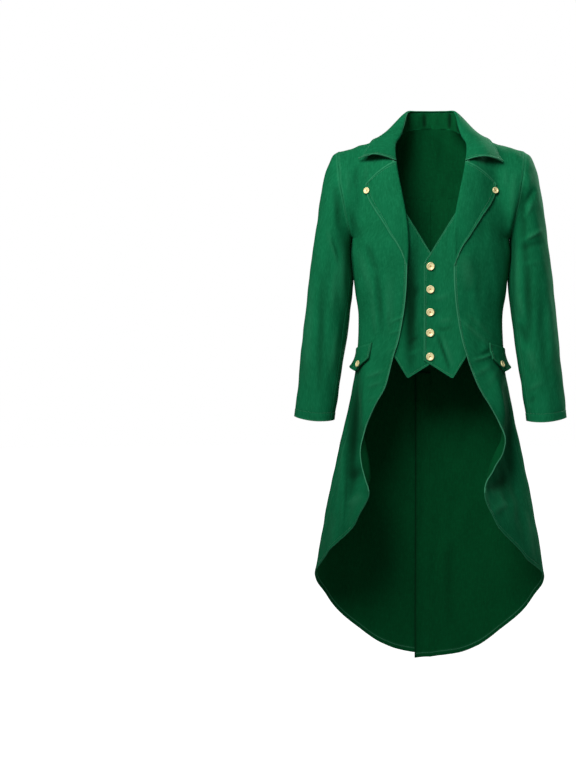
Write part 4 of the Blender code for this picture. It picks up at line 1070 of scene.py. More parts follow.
# A sheet's edges: the axis it lies across, its index on it, and the step inward.
EDGES = (("top", 0, 0, 1), ("bottom", 0, -1, -1), ("first", 1, 0, 1), ("last", 1, -1, -1))
ALL_ROUND, BUT_TOP = ("top", "bottom", "first", "last"), ("bottom", "first", "last")


def seam_laps(points, normals, edges):
    """The points with their sewn edges run a little past their seam lines."""
    moved = points.copy()
    for side, axis, first, inward in EDGES:
        if edges.get(side) not in SEAMS:
            continue
        edge = np.take(points, first, axis)
        towards = np.take(points, first + inward, axis) - edge
        square = unit(np.cross(np.gradient(edge, axis=0), np.take(normals, first, axis)))
        square *= np.sign((square * towards).sum(-1, keepdims=True))
        if axis == 0:
            moved[first] -= square * SEAM_LAP
        else:
            moved[:, first] -= square * SEAM_LAP
    return moved


def stitched_lines(outer, normals, edges):
    """The lines of a sheet along which rows of stitches run, with the outward directions along them."""
    found = []
    distances = edge_distances(outer)
    for side, kind in edges.items():
        if not isinstance(kind, float):
            continue
        far = distances[side]
        if side in ("first", "last"):
            k = int(np.argmin(np.abs(np.median(far, axis=0) - kind)))
            found.append((outer[:, k], normals[:, k]))
        else:
            k = int(np.argmin(np.abs(np.median(far, axis=1) - kind)))
            found.append((outer[k], normals[k]))
    return found


STITCH_OUT = 0.12  # of the thread's width: how far a stitch's middle lies outside the cloth


def sew(node, lines):
    """Rows of stitches along lines on a node's cloth, as one piece."""
    use = sizes()
    bm = bmesh.new()
    for line, outward in lines:
        step = np.linalg.norm(np.diff(line, axis=0), axis=1)
        at = np.concatenate([[0], np.cumsum(step)])
        starts = np.arange(use.stitch_pitch, at[-1] - use.stitch_pitch, use.stitch_pitch)
        for start in starts:
            a, b = (
                np.array([np.interp(place, at, line[:, k]) for k in range(3)])
                for place in (start, start + use.stitch_length)
            )
            out = unit(np.array([np.interp(start, at, outward[:, k]) for k in range(3)]))
            along = (b - a) / 2
            across = np.cross(out, unit(along)) * use.thread / 2
            matrix = Matrix(np.column_stack([along, across, out * use.thread / 2]).tolist()).to_4x4()
            matrix.translation = Vector((a + b) / 2 + out * use.thread * STITCH_OUT)
            bmesh.ops.create_uvsphere(bm, u_segments=6, v_segments=4, radius=1, matrix=matrix)
    for face in bm.faces:
        face.smooth = True
    face_out(bm)
    mesh = finished(bm, f"stitches_{node}", "spun_thread")
    return put("stitches", mesh, node, stands_for=False)


# pale sets the painted highlight along the finished edges, and under 0 painted shade; shaded is painted shade
# on the outside only.
def tailored(
    node, points, normals, edges, thick, creased=0.0, pale=1.0,
    both_faces=False, extra_lines=(), inside_rows=False, shaded=0.0,
):
    """A cloth piece from its outer surface: sewn or finished at its edges, with its rows of stitches."""
    outer = seam_laps(points, normals, edges)
    rise, marks = sewn_rise(outer, edges, creased, pale)
    inner = outer - normals * thick
    outer = outer + normals * rise[..., None]
    outsides[node] = outer
    # On the reverse the painted highlight stays only along finished edges, with the hem's row inside.
    edge = marks["edge"] * (marks["edge"] > SEAMS["soft"][2])
    if inside_rows:
        off_row = edge_distances(inner)["bottom"] - edges["bottom"]
        edge = np.maximum(edge, ROW_HIGHLIGHT * bell(off_row / STITCH_WIDTH))
    inside = {"edge": edge, "seam": marks["seam"] * SEAM_INSIDE, "hollow": marks["hollow"]}
    marks["hollow"] = np.maximum(marks["hollow"], shaded)
    kinds = "cotton_twill", "cotton_twill" if both_faces else "cotton_twill_shaded_reverse"
    mesh = grid_mesh(node, outer, inner, marks, inside, ROUNDING * float(np.min(thick)), kinds)
    piece = put("cloth", mesh, node)
    lines = stitched_lines(outer, normals, edges) + list(extra_lines)
    if inside_rows:
        lines += stitched_lines(inner, -normals, {"bottom": edges["bottom"]})
    [sew(node, lines)] if lines else []


YOKE_DROP = np.array([
    # s, z of the yoke's seam
    (0.00, -0.160), (0.10, -0.150), (0.20, -0.138), (0.30, -0.128), (0.40, -0.120), (SIDE_S, -0.117),
])
# Lengths, and widths of half a piece, for the mesh's lines.
YOKE_LENGTH, BACK_TOP_LENGTH, FRONT_TOP_LENGTH, SKIRT_LENGTH = 0.150, 0.140, 0.270, 0.850
YOKE_WIDTH, BACK_WIDTH, FRONT_WIDTH = 0.230, 0.260, 0.190
HEM_KEEPS = 0.030  # within this distance of the hem the mesh's lines keep their distances from it
VENT_Z, VENT_EASE = -0.600, 0.030  # the top of the vent, and over what height it opens
# The vent's outside half: its band's width, how far the band stands off, and its edge beyond that. The last
# is how deep the inside half's edge lies.
VENT_BAND, VENT_LIFT, VENT_EDGE_LIFT, VENT_SINK = 0.0375, 0.0010, 0.0014, 0.0034
VENT_ABOVE = 0.004  # how far above VENT_Z the vent begins to open
VENT_BAND_EASE, VENT_CENTRE, VENT_INSIDE = 0.003, 0.016, 0.026  # the widths over which its lifts fade
VENT_HEM_STEP = 0.003  # how much the vent's inside half hangs below its hem line, and the outside half above
STEP_FROM_T = 0.6  # where down the back that step begins
STEP_WHOLE, STEP_FADES = 1.4, 0.3  # it is whole near the centre back and fades over this share of the width


def yoke_seam(s):
    """How far down the yoke's seam lies."""
    return np.where(np.abs(s) < SIDE_S - JUST_PAST, t_at(s, through(YOKE_DROP, np.abs(s))[..., 0]), YOKE_T)


def skirt_rows(s_at_hem):
    """The body's rows from the underarm to the hem, as t for each column."""
    share = spread(SKIRT_LENGTH, near_end=by_edge(sizes().hem_stitch))
    above = (SKIRT_LENGTH * (1 - share))[1:, None]
    length = UNDERARM_Z - through(HEM, s_at_hem)[None, :, 0]
    stretch = (length - HEM_KEEPS) / (SKIRT_LENGTH - HEM_KEEPS)
    above = np.where(above <= HEM_KEEPS, above, HEM_KEEPS + (above - HEM_KEEPS) * stretch)
    return 1 - (1 - UNDERARM_T) * above / length


def make_yoke():
    half = 0.5 * spread(YOKE_WIDTH, near_end=FOLD_LINES)
    rows = spread(YOKE_LENGTH, FOLD_LINES, FOLD_LINES)[:, None]
    s = np.concatenate([-half[:0:-1], half])[None, :] + 0 * rows
    points, creased, normals = coat_cloth(s, yoke_seam(s[:1]) * rows, "left")
    edges = dict.fromkeys(ALL_ROUND, "sewn")
    tailored("yoke", points, normals, edges, sizes().cloth, creased)


def vent_lap(points, which):
    """How far the back's vent raises the outside half over its underlap and sinks the inside half's edge."""
    below = eased((VENT_Z + VENT_ABOVE - points[..., 2]) / VENT_EASE)
    far = np.abs(points[..., 0])
    if which == "left":
        return -below * VENT_SINK * eased(1 - far / VENT_INSIDE)
    band = eased((VENT_BAND - far) / VENT_BAND_EASE)
    return below * (VENT_LIFT * band + VENT_EDGE_LIFT * eased(1 - far / VENT_CENTRE))


def make_back(which):
    share = spread(BACK_WIDTH, FOLD_LINES, FOLD_LINES)
    down = spread(BACK_TOP_LENGTH, near_start=FOLD_LINES)[:, None]
    top = yoke_seam(share * SIDE_S)[None, :]
    lower = skirt_rows(share * side_seam(1.0))
    t = np.concatenate([between(top, UNDERARM_T, down), lower])
    s = share[None, :] * side_seam(t)
    points, creased, normals = coat_cloth(s, t, which)
    lap = vent_lap(points, which)
    points += normals * lap[..., None]
    near_hem = eased((t - STEP_FROM_T) / (1 - STEP_FROM_T)) * eased(STEP_WHOLE - share / STEP_FADES)
    points[..., 2] -= SIDES[which] * VENT_HEM_STEP * near_hem
    edges = {"top": "sewn", "bottom": sizes().hem_stitch, "first": "sewn", "last": "sewn"}
    bar = vent_bar(points, normals) if which == "right" else []
    # Painted shade on the outside beside the inside half's sunk edge in the vent.
    under = np.maximum(-lap / VENT_SINK, 0) ** 3
    tailored(
        f"back_{which}", points, normals, edges, sizes().cloth, creased,
        extra_lines=bar, inside_rows=True, shaded=under,
    )


# The stitched bar across the top of the vent.
BAR_Z, BAR_LENGTH, BAR_ROWS = -0.607, 0.034, (0.0, 0.0009, 0.0018)


def vent_bar(points, normals):
    """The lines of the bar of stitches that holds the top of the vent."""
    row = int(np.argmin(np.abs(points[:, 0, 2] - BAR_Z)))
    inside = np.abs(points[row, :, 0]) < BAR_LENGTH
    return [(points[row, inside] - [0, 0, drop], normals[row, inside]) for drop in BAR_ROWS]


def make_front(which):
    use = sizes()
    share = spread(FRONT_WIDTH, near_start=FOLD_LINES, near_end=by_edge(use.edge_stitch))
    down = spread(FRONT_TOP_LENGTH, near_start=FOLD_LINES)[:, None] * UNDERARM_T
    seam_at_hem = side_seam(1.0)
    lower = skirt_rows(seam_at_hem + (1 - seam_at_hem) * share)
    t = np.concatenate([down + 0 * share[None, :], lower])
    seam = np.maximum(side_seam(t), SIDE_S + JUST_PAST)
    s = seam + (1 - seam) * share[None, :]
    points, creased, normals = coat_cloth(s, t, which)
    edges = {"top": "sewn", "bottom": use.hem_stitch, "first": "soft", "last": use.edge_stitch}
    tailored(f"front_{which}", points, normals, edges, use.cloth, creased, inside_rows=True)


SLEEVE_TOP_WIDTH, SLEEVE_UNDER_WIDTH, SLEEVE_LENGTH = 0.260, 0.125, 0.640  # for the mesh's lines
SEAMS_SETTLE = 0.6  # how far down the sleeve its seams reach the turn that they have at the cuff


def make_sleeve(which):
    use = sizes()
    v = spread(SLEEVE_LENGTH, near_start=FOLD_LINES, near_end=by_edge(use.cuff_stitch))[:, None]
    runs = (
        ("sleeve_top", SLEEVE_TOP_WIDTH, [f - 1 for f in FORE_SEAM], HIND_SEAM),
        ("sleeve_under", SLEEVE_UNDER_WIDTH, HIND_SEAM, FORE_SEAM),
    )
    for name, width, start, end in runs:
        share = spread(width, FOLD_LINES, FOLD_LINES)[None, :]
        at_armhole, at_cuff = (between(start[k], end[k], share) for k in (0, 1))
        w = between(at_armhole, at_cuff, eased(v / SEAMS_SETTLE))
        points, creased, normals = sleeve_cloth(w, v + 0 * w, which)
        edges = {"top": "soft", "bottom": use.cuff_stitch, "first": "sewn", "last": "sewn"}
        tailored(f"{name}_{which}", points, normals, edges, use.cloth, creased)


def tree_of(*names):
    """A search tree over the outer sheets of some pieces."""
    points, quads, count = [], [], 0
    for name in names:
        rows, columns = outsides[name].shape[:2]
        index = np.arange(rows * columns).reshape(rows, columns) + count
        corners = [index[:-1, :-1], index[1:, :-1], index[1:, 1:], index[:-1, 1:]]
        quads += np.stack(corners, axis=-1).reshape(-1, 4).tolist()
        points += outsides[name].reshape(-1, 3).tolist()
        count = len(points)
    return BVHTree.FromPolygons(points, quads)


def cast(tree, origins, direction):
    """Where parallel rays meet a sheet, or its nearest points to them, and the normals that face them."""
    points, normals = np.zeros(origins.shape), np.zeros(origins.shape)
    direction = Vector(direction)
    for at in np.ndindex(origins.shape[:-1]):
        hit, normal, _, _ = tree.ray_cast(Vector(origins[at]) - direction, direction)
        if hit is None:
            hit, normal, _, _ = tree.find_nearest(Vector(origins[at]))
        points[at] = hit
        normals[at] = normal * (-1 if normal.dot(direction) > 0 else 1)
    return points, normals


def clear_of(tree, points, out, clearance, press):
    """The points moved out to clear a sheet; where press is 1 they are brought down on to it too."""
    moved = points.copy()
    for at in np.ndindex(points.shape[:2]):
        point = Vector(points[at])
        near, normal, _, _ = tree.find_nearest(point)
        if normal.dot(Vector(out[at])) < 0:
            normal = -normal
        height = (point - near).dot(normal)
        wanted = max(clearance, height + (clearance - height) * press[at])
        moved[at] = point + normal * (wanted - height)
    return moved


def grid_normals(points, towards):
    """The unit normals of a sheet of points, on the side that a direction gives."""
    n = unit(np.cross(np.gradient(points, axis=0), np.gradient(points, axis=1)))
    return n * np.sign((n * towards).sum())


def softened(points, rounds):
    """A sheet with its points eased towards their neighbours' middle; its corners stay."""
    soft = points.copy()
    for _ in range(rounds):
        middle = (soft[:-2, 1:-1] + soft[2:, 1:-1] + soft[1:-1, :-2] + soft[1:-1, 2:]) / 4
        soft[1:-1, 1:-1] = (soft[1:-1, 1:-1] + middle) / 2
        for rim in (soft[0], soft[-1], soft[:, 0], soft[:, -1]):
            rim[1:-1] = rim[1:-1] / 2 + (rim[:-2] + rim[2:]) / 4
    return soft


def leaf(node, inner, towards, edges, thick=None, pale=1.0, creased=0.0):
    """A doubled piece whose inner side is given."""
    thick = sizes().leaf if thick is None else thick
    normals = grid_normals(inner, towards)
    tailored(node, inner + normals * thick, normals, edges, thick, creased, pale, both_faces=True)


# The collar from the centre back (0) to the gorge (1): the line of its fold and its outer edge.
COLLAR = np.array([
    # c, fold_x, fold_y, fold_z, edge_x, edge_y, edge_z
    (0.00, 0.0000, 0.0600, 0.0510, 0.000, 0.075, 0.023),
    (0.15, 0.0340, 0.0550, 0.0510, 0.043, 0.073, 0.020),
    (0.30, 0.0560, 0.0370, 0.0495, 0.083, 0.060, 0.009),
    (0.42, 0.0630, 0.0150, 0.0380, 0.115, 0.035, -0.008),
    (0.55, 0.0680, -0.0080, 0.0160, 0.1365, -0.003, -0.018),
    (0.66, 0.0745, -0.0260, -0.0040, 0.149, -0.031, -0.029),
    (0.80, 0.0840, -0.0480, -0.0300, 0.160, -0.055, -0.044),
    (1.00, 0.0880, -0.0780, -0.0690, 0.169, -0.082, -0.060),
])
COLLAR_ON_EDGE = 0.80  # from here forward the fold wraps the front's own edge
COLLAR_PRESSED = 0.10  # from here forward the fall's edge lies on the shoulder
COLLAR_LENGTH, COLLAR_DEPTH = 0.520, 0.075  # for the mesh's lines
GORGE_BOW = {"left": 0.003, "right": 0.005}  # how far its ends bow up
RIGHT_TIP_RISE = 0.013  # how much higher the collar's right tip lies
GORGE_FROM, GORGE_OVER = 0.7, 0.3  # where along the collar its bow and its tip's rise come in
COLLAR_STANDS_OFF, COLLAR_PRESS = 0.0030, 0.8  # off the coat, and how fully its edge keeps to that
ROLL_LIFT, ROLL_FULL = 0.0035, 6  # how far collar and lapels stand off the coat behind their fold
EDGE_STEP = 0.02  # from the front's edge, in s, to the point that tells its way off the edge
NECK_C, STAND_END = 0.50, 0.66  # where the stand passes the shoulder seam, and where it ends
STAND_HALF, STAND_HEIGHT = 0.155, 0.040  # for the mesh's lines
STAND_FLAT = 0.02  # the share of its height at which its creases are held from dying out
JUST_BELOW = -0.001  # the highest height at which the front's edge is looked for
STAND_SHADE = 2.0  # how much more shade the stand's creases hold than the body's
STAND_END_T = 0.03  # how far down the front's edge the stand ends
WRAP = np.linspace(115, 20, 7)  # degrees round the edge that a fold wraps, from the cloth's outer side
STAND_CREASES = np.array([
    # x_cm, width_mm, height_mm
    (-5.4, 5, 1.6), (-3.2, 5, -1.8), (-1.6, 5, 2.6), (1.0, 8, -1.6), (3.2, 4, -1.6), (4.4, 4, 2.8),
    (5.4, 3, -2.2), (6.5, 4, 2.8),
])
# How strong the painted highlight along the trims' finished edges is, beside a front's 1; under 0 they get
# painted shade instead.
EDGE_HIGHLIGHT_AND_SHADE = {"collar": 0.7, "lapel": 0.6, "waistcoat": 0.5, "flap": 0.3, "strap": -0.9, "placket": -0.8}


def both_sides(table, columns):
    """A table's columns from -1 to 1 of its first one: x changes sign across the middle."""
    made = through(table, np.abs(columns))
    made[..., 0::3] *= sign_of(columns)[..., None]
    return made


def rolled(share):
    """How far cloth stands off the coat at a share of its way from its fold to its edge."""
    return ROLL_LIFT * share * (1 - share) ** 2 * ROLL_FULL


def front_edge(t):
    """The middle of the front panel's edge thickness, the way out of the cloth, and the way off the edge."""
    one = np.ones(t.shape)
    edge, out = body(one, t), body_normals(one, t)
    off = edge - body(one - EDGE_STEP, t)
    off = unit(off - out * (off * out).sum(-1, keepdims=True))
    return edge - out * sizes().cloth / 2, out, off


def collar_lines(c):
    """The collar's fold and its outer edge."""
    row = both_sides(COLLAR, c)
    fold, edge = row[:, :3], row[:, 3:]
    t = t_at(np.ones(c.shape), np.minimum(fold[:, 2], JUST_BELOW))
    on_edge, _, _ = front_edge(t)
    on_edge[:, 0] *= np.sign(c)
    share = eased((np.abs(c) - STAND_END) / (COLLAR_ON_EDGE - STAND_END))[:, None]
    return blended(fold, on_edge, share), edge


def make_fall():
    use = sizes()
    stitch = by_edge(use.edge_stitch)
    c = 2 * spread(COLLAR_LENGTH, stitch, stitch) - 1
    fold, edge = collar_lines(c)
    along = unit(np.gradient(fold, axis=0))
    fall = edge - fold
    down = unit(fall - along * (fall * along).sum(-1, keepdims=True))
    out = unit(np.cross(along, down))
    radius = use.cloth / 2 + use.lie
    rows = [fold + (out * math.cos(a) - down * math.sin(a)) * radius for a in np.radians(WRAP)]
    shares = spread(COLLAR_DEPTH, near_end=stitch)[1:]
    near_gorge = np.clip((np.abs(c) - GORGE_FROM) / GORGE_OVER, 0, 1) ** 2
    bow = near_gorge * np.where(c < 0, GORGE_BOW["right"], GORGE_BOW["left"])
    tip = near_gorge * np.where(c < 0, RIGHT_TIP_RISE, 0)
    for share in shares:
        lies = fold + fall * share + out * (radius + rolled(share))
        lies[:, 2] += bow * math.sin(math.pi * share) + tip * share**2
        rows.append(lies)
    inner = np.stack(rows)
    forward = eased((np.abs(c) - COLLAR_PRESSED) / (STAND_END - NECK_C))
    press = shares[:, None] ** 3 * forward[None, :]
    under = tree_of("yoke", "front_left", "front_right")
    first = len(WRAP)
    stands_off = use.lie + COLLAR_STANDS_OFF
    outward = out + 0 * inner[first:]
    inner[first:] = clear_of(under, inner[first:], outward, stands_off, press * COLLAR_PRESS)
    inner[first:] = softened(inner, 3)[first:]
    edges = dict.fromkeys(BUT_TOP, use.edge_stitch)
    leaf("collar_fall", inner, ABOVE, edges, pale=EDGE_HIGHLIGHT_AND_SHADE["collar"])


def make_stand():
    use = sizes()
    c = STAND_END * (2 * spread(2 * STAND_HALF, FOLD_LINES, FOLD_LINES) - 1)
    top, _ = collar_lines(c)
    side = sign_of(c)
    behind = np.clip(np.abs(c) / NECK_C, 0, 1) * NECK_S
    bottom = body(behind * side, 0 * c) - body_normals(behind * side, 0 * c) * use.cloth / 2
    ahead = np.clip((np.abs(c) - NECK_C) / (STAND_END - NECK_C), 0, 1)
    on_front, _, _ = front_edge(ahead * STAND_END_T)
    bottom = np.where((ahead > 0)[:, None], mirrored(on_front, side), bottom)
    up = unit(top - bottom)
    square = np.abs((up * body_normals(behind * side, 0 * c)).sum(-1, keepdims=True))
    bottom += up * (use.cloth / 2 * square - SEAM_LAP)
    share = spread(STAND_HEIGHT, FOLD_LINES)[:, None, None]
    middle = blended(bottom[None], top[None], share)
    out = grid_normals(middle, BEHIND)
    rise = np.zeros(middle.shape[:2])
    for at, width, height in STAND_CREASES:
        rise += height * MM * bell((middle[..., 0] - at * CM) / (width * MM))
    rise *= np.sin(np.pi * np.clip(share[..., 0], STAND_FLAT, 1 - STAND_FLAT)) ** 0.5
    middle = middle + out * rise[..., None]
    outer = middle + out * use.cloth / 2
    tailored("collar_stand", outer, out, {"top": "sewn"}, use.cloth, -rise * STAND_SHADE)


LAPEL = np.array([
    # share down, roll_z, edge_x, edge_z
    (0.00, -0.0725, 0.1520, -0.1240),
    (0.10, -0.0980, 0.1510, -0.1390),
    (0.25, -0.1370, 0.1400, -0.1660),
    (0.45, -0.1850, 0.1160, -0.2040),
    (0.65, -0.2320, 0.0925, -0.2420),
    (0.85, -0.2750, 0.0700, -0.2800),
    (1.00, -0.3150, 0.0555, -0.3160),
])
LAPEL_LENGTH, LAPEL_WIDTH = 0.250, 0.075  # for the mesh's lines
LAPEL_TOP_BOW = 0.004  # how far its top edge bows up
LAPEL_BUTTON_V, LAPEL_BUTTON_REACH = 0.10, 0.06  # its button holds it down here
BEFORE_CHEST = -0.11  # the depth in front of the chest from which rays find the front
LAPEL_LIFT = 0.0030  # how far its free edges stand off the chest
LAPEL_THINS, LAPEL_THIN = 0.80, 0.0004  # from here down its leaf thins away to this, into the front's edge


def make_lapel(which):
    use = sizes()
    side = SIDES[which]
    stitch = by_edge(use.edge_stitch)
    v = spread(LAPEL_LENGTH, near_start=stitch)
    roll_z, edge_x, edge_z = through(LAPEL, v).T
    t = t_at(np.ones(v.shape), roll_z)
    centre, out, off = front_edge(t)
    roll = body(np.ones(v.shape), t)
    radius = use.cloth / 2 + use.lie
    turns = [out * math.cos(a) + off * math.sin(a) for a in np.radians(WRAP)]
    columns = [mirrored(centre + turn * radius, side) for turn in turns]
    tree = tree_of(f"front_{which}")
    wide = np.clip((edge_x - roll[:, 0]) / LAPEL_WIDTH, 0, 1)[:, None]
    off_button = (1 - bell((v - LAPEL_BUTTON_V) / LAPEL_BUTTON_REACH))[:, None]
    for share in spread(LAPEL_WIDTH, near_end=stitch)[1:]:
        bow = LAPEL_TOP_BOW * math.sin(math.pi * share) * (1 - v) ** 4
        x, z = between(roll[:, 0], edge_x, share), between(roll[:, 2], edge_z, share) + bow
        point, normal = cast(tree, np.stack([x * side, 0 * x + BEFORE_CHEST, z], axis=-1), BEHIND)
        lift = use.lie + wide * (rolled(share) + LAPEL_LIFT * share**2 * off_button)
        columns.append(point + normal * lift)
    inner = np.stack(columns, axis=1)
    inner[:, len(WRAP) :] = softened(inner, 2)[:, len(WRAP) :]
    edges = dict.fromkeys(("top", "last"), use.edge_stitch)
    thick = use.leaf - (use.leaf - LAPEL_THIN) * eased((v - LAPEL_THINS) / (1 - LAPEL_THINS))
    leaf(f"lapel_{which}", inner, AHEAD, edges, thick[:, None, None], EDGE_HIGHLIGHT_AND_SHADE["lapel"])


# The false waistcoat inside the fronts: the left one is outside and reaches past the middle.
WAISTCOAT_OUTER = 0.095  # how far out its hidden side edge lies
WAISTCOAT_LENGTH = 0.28  # for the mesh's lines
WAISTCOAT_BOWS = 0.9  # how fast it goes back above the chest, with the square of the height
WAISTCOAT_RIPPLE = 0.7  # its unevenness, beside the coat's 1
WAISTCOAT_SINKS = 0.020  # how much deeper it lies in the middle than at the fronts' edges
WAISTCOAT_HOLLOW, HOLLOW_POWER = 0.074, 1.5  # half the width of that hollow, and how steeply it sinks
WAISTCOAT_SHADE = 2.0  # how much more shade its fine creases hold than the body's
WAISTCOAT = {"left": (-0.015, 0.0030), "right": (-0.012, 0.0062)}  # inner edge's x, depth inside the coat
V_Z, V_RISE = -0.285, 1.615  # the point of the V in the middle, and how steeply its sides rise
# The lower edge: its notch in the middle, its point, and how steeply it rises outside the point.
NOTCH_Z, POINT_X, POINT_Z, POINT_RISE = -0.548, 0.053, -0.581, 1.63


def waistcoat(x, z, deep):
    """The false waistcoat's surface, a little inside the coat's own outline."""
    half, side_y, _, front_y, _ = np.moveaxis(through(SECTIONS, np.minimum(z, UNDERARM_Z)), -1, 0)
    above = np.clip(z - UNDERARM_Z, 0, None)
    y = between(side_y, front_y, np.cos(angle_of(x, half)) ** SQUARENESS)
    return np.stack([x, y + deep + WAISTCOAT_BOWS * above**2, z], axis=-1)


def make_waistcoat(which):
    use = sizes()
    side = SIDES[which]
    inner_x, deep = WAISTCOAT[which]
    width = WAISTCOAT_OUTER - inner_x
    stitch = by_edge(use.edge_stitch)
    x = inner_x + width * spread(width, near_start=stitch)[None, :]
    top = V_Z + V_RISE * x
    towards_point = NOTCH_Z + (POINT_Z - NOTCH_Z) * x / POINT_X
    bottom = np.where(x < POINT_X, towards_point, POINT_Z + POINT_RISE * (x - POINT_X))
    share = spread(WAISTCOAT_LENGTH, stitch, stitch)[:, None]
    z = between(top, bottom, share)
    sinks = WAISTCOAT_SINKS * np.cos(np.pi / 2 * np.clip(x / WAISTCOAT_HOLLOW, -1, 1)) ** HOLLOW_POWER
    outer = mirrored(waistcoat(x + 0 * z, z, deep + sinks), side)
    out = grid_normals(outer, AHEAD)
    outer, creased = hung(outer, out, WAISTCOAT_CREASES, ripple=WAISTCOAT_RIPPLE)
    edges = dict.fromkeys(("top", "bottom", "first"), use.edge_stitch)
    creased = creased * WAISTCOAT_SHADE
    tailored(f"vest_front_{which}", outer, out, edges, use.cloth, creased, EDGE_HIGHLIGHT_AND_SHADE["waistcoat"])


# The pocket flaps: where their seams run, their depth at the ends and at the point, and the point's place.
FLAP_FRONT_S, FLAP_BACK_S = 0.80, 0.42
FLAP_FRONT_Z, FLAP_BACK_Z = -0.498, -0.521
FLAP_DEPTH, FLAP_POINT_DEPTH, FLAP_WIDTH = 0.038, 0.062, 0.140
FLAP_POINT_U = 0.36
FLAP_STAND_OUT, FLAP_FRONT_OUT = 0.014, 0.3  # how far the lower edge stands out, and its front's share of it
FLAP_PRESS = 0.6  # how fully the flap is brought down on to the coat


def make_flap(which):
    use = sizes()
    side = SIDES[which]
    stitch = by_edge(use.edge_stitch)
    u, w = np.meshgrid(spread(FLAP_WIDTH, stitch, stitch), spread(FLAP_POINT_DEPTH, FOLD_LINES, stitch))
    s = between(FLAP_FRONT_S, FLAP_BACK_S, u)
    off_point = np.where(u < FLAP_POINT_U, 1 - u / FLAP_POINT_U, (u - FLAP_POINT_U) / (1 - FLAP_POINT_U))
    depth = between(FLAP_DEPTH, FLAP_POINT_DEPTH, 1 - off_point)
    z = between(FLAP_FRONT_Z, FLAP_BACK_Z, u) - depth * w
    t = t_at(s, z)
    out = mirrored(body_normals(s, t, which), side)
    on_body = mirrored(body(s, t, which), side)
    lies = clear_of(tree_of(f"front_{which}", f"back_{which}"), on_body, out, use.lie, 0 * u + FLAP_PRESS)
    lies += out * (FLAP_STAND_OUT * (FLAP_FRONT_OUT + (1 - FLAP_FRONT_OUT) * u) * w**2)[..., None]
    lies = softened(lies, 2)
    edges = {"top": "sewn", **dict.fromkeys(BUT_TOP, use.edge_stitch)}
    leaf(f"pocket_flap_{which}", lies, np.array([side, 0.0, 0.0]), edges, pale=EDGE_HIGHLIGHT_AND_SHADE["flap"])


STRAP_HALF, STRAP_HEIGHT, STRAP_POINT, STRAP_Z, STRAP_SAG = 0.078, 0.030, 0.008, -0.426, 0.011
STRAP_LIFT = 0.0035  # how far the strap's lower edge stands off the back between its buttons
STRAP_BETWEEN, STRAP_PRESS = 1.2, 0.5  # how far out it is loose, and how fully it is brought down on the back
STRAP_STITCH, STRAP_POINT_LENGTH, STRAP_POINT_POWER = 0.004, 0.010, 2.2
STRAP_SHADE = -0.0014  # the whole strap is as dark as a crease of this depth


def s_at(x, z):
    """The place round the back of the body that lies x to the side at height z."""
    half = through(SECTIONS, z)[..., 0]
    return np.sign(x) * angle_of(x, half) / np.pi


def make_strap():
    use = sizes()
    stitch = by_edge(STRAP_STITCH)
    x = (2 * spread(2 * STRAP_HALF, stitch, stitch) - 1)[None, :] * STRAP_HALF
    end = np.clip((np.abs(x) - (STRAP_HALF - STRAP_POINT_LENGTH)) / STRAP_POINT_LENGTH, 0, 1)
    half = STRAP_HEIGHT / 2 - STRAP_POINT * end**STRAP_POINT_POWER
    down = spread(STRAP_HEIGHT, stitch, stitch)[:, None]
    z = STRAP_Z - STRAP_SAG * (1 - (x / STRAP_HALF) ** 2) + half * (1 - 2 * down)
    s = s_at(x + 0 * z, z)
    t = t_at(np.abs(s), z)
    out = body_normals(s, t)
    lies = clear_of(tree_of("back_left", "back_right"), body(s, t), out, use.lie, 0 * z + STRAP_PRESS)
    between = eased(STRAP_BETWEEN - np.abs(x) / STRAP_HALF)
    lies += out * (STRAP_LIFT * between * down**2)[..., None]
    edges = dict.fromkeys(ALL_ROUND, STRAP_STITCH)
    leaf("back_strap", softened(lies, 2), BEHIND, edges, None, EDGE_HIGHLIGHT_AND_SHADE["strap"], STRAP_SHADE)


# The cuff plackets' place round and down the sleeve, and their buttons' down it.
PLACKET_W, PLACKET_V = (0.175, 0.262), (0.795, 0.997)
PLACKET_BUTTON_V = (0.865, 0.925, 0.975)
PLACKET_WIDTH, PLACKET_LENGTH = 0.028, 0.128
PLACKET_STITCH, PLACKET_THICK = 0.003, 0.8  # from its edges; its thickness beside one cloth's
PLACKET_LIFT, PLACKET_LIFTS_AT = 0.0022, 3  # its free edge stands off the sleeve below 1 / this of its length


def make_placket(which):
    use = sizes()
    stitch = by_edge(PLACKET_STITCH)
    u, d = np.meshgrid(spread(PLACKET_WIDTH, stitch, stitch), spread(PLACKET_LENGTH, stitch, stitch))
    w = between(*PLACKET_W, u)
    points, _, out = sleeve_cloth(w, between(*PLACKET_V, d), which)
    inner = clear_of(tree_of(f"sleeve_top_{which}"), points, out, use.lie, 0 * w + 1)
    inner += out * (PLACKET_LIFT * eased((u - 0.5) * 2) * eased(PLACKET_LIFTS_AT * d))[..., None]
    edges = dict.fromkeys(("top", "last", "first"), PLACKET_STITCH)
    thick = use.cloth * PLACKET_THICK
    leaf(f"cuff_placket_{which}", softened(inner, 1), BEHIND, edges, thick, EDGE_HIGHLIGHT_AND_SHADE["placket"])


UNDERLAP_TOP, UNDERLAP_OUT, UNDERLAP_LONGER = -0.575, 0.037, 0.002
UNDERLAP_LENGTH = 0.72  # for the mesh's lines
# How far its free edge stands off the other half, from where, and over what width.
UNDERLAP_CURL, CURL_FROM, CURL_OVER = 0.004, 0.015, 0.022


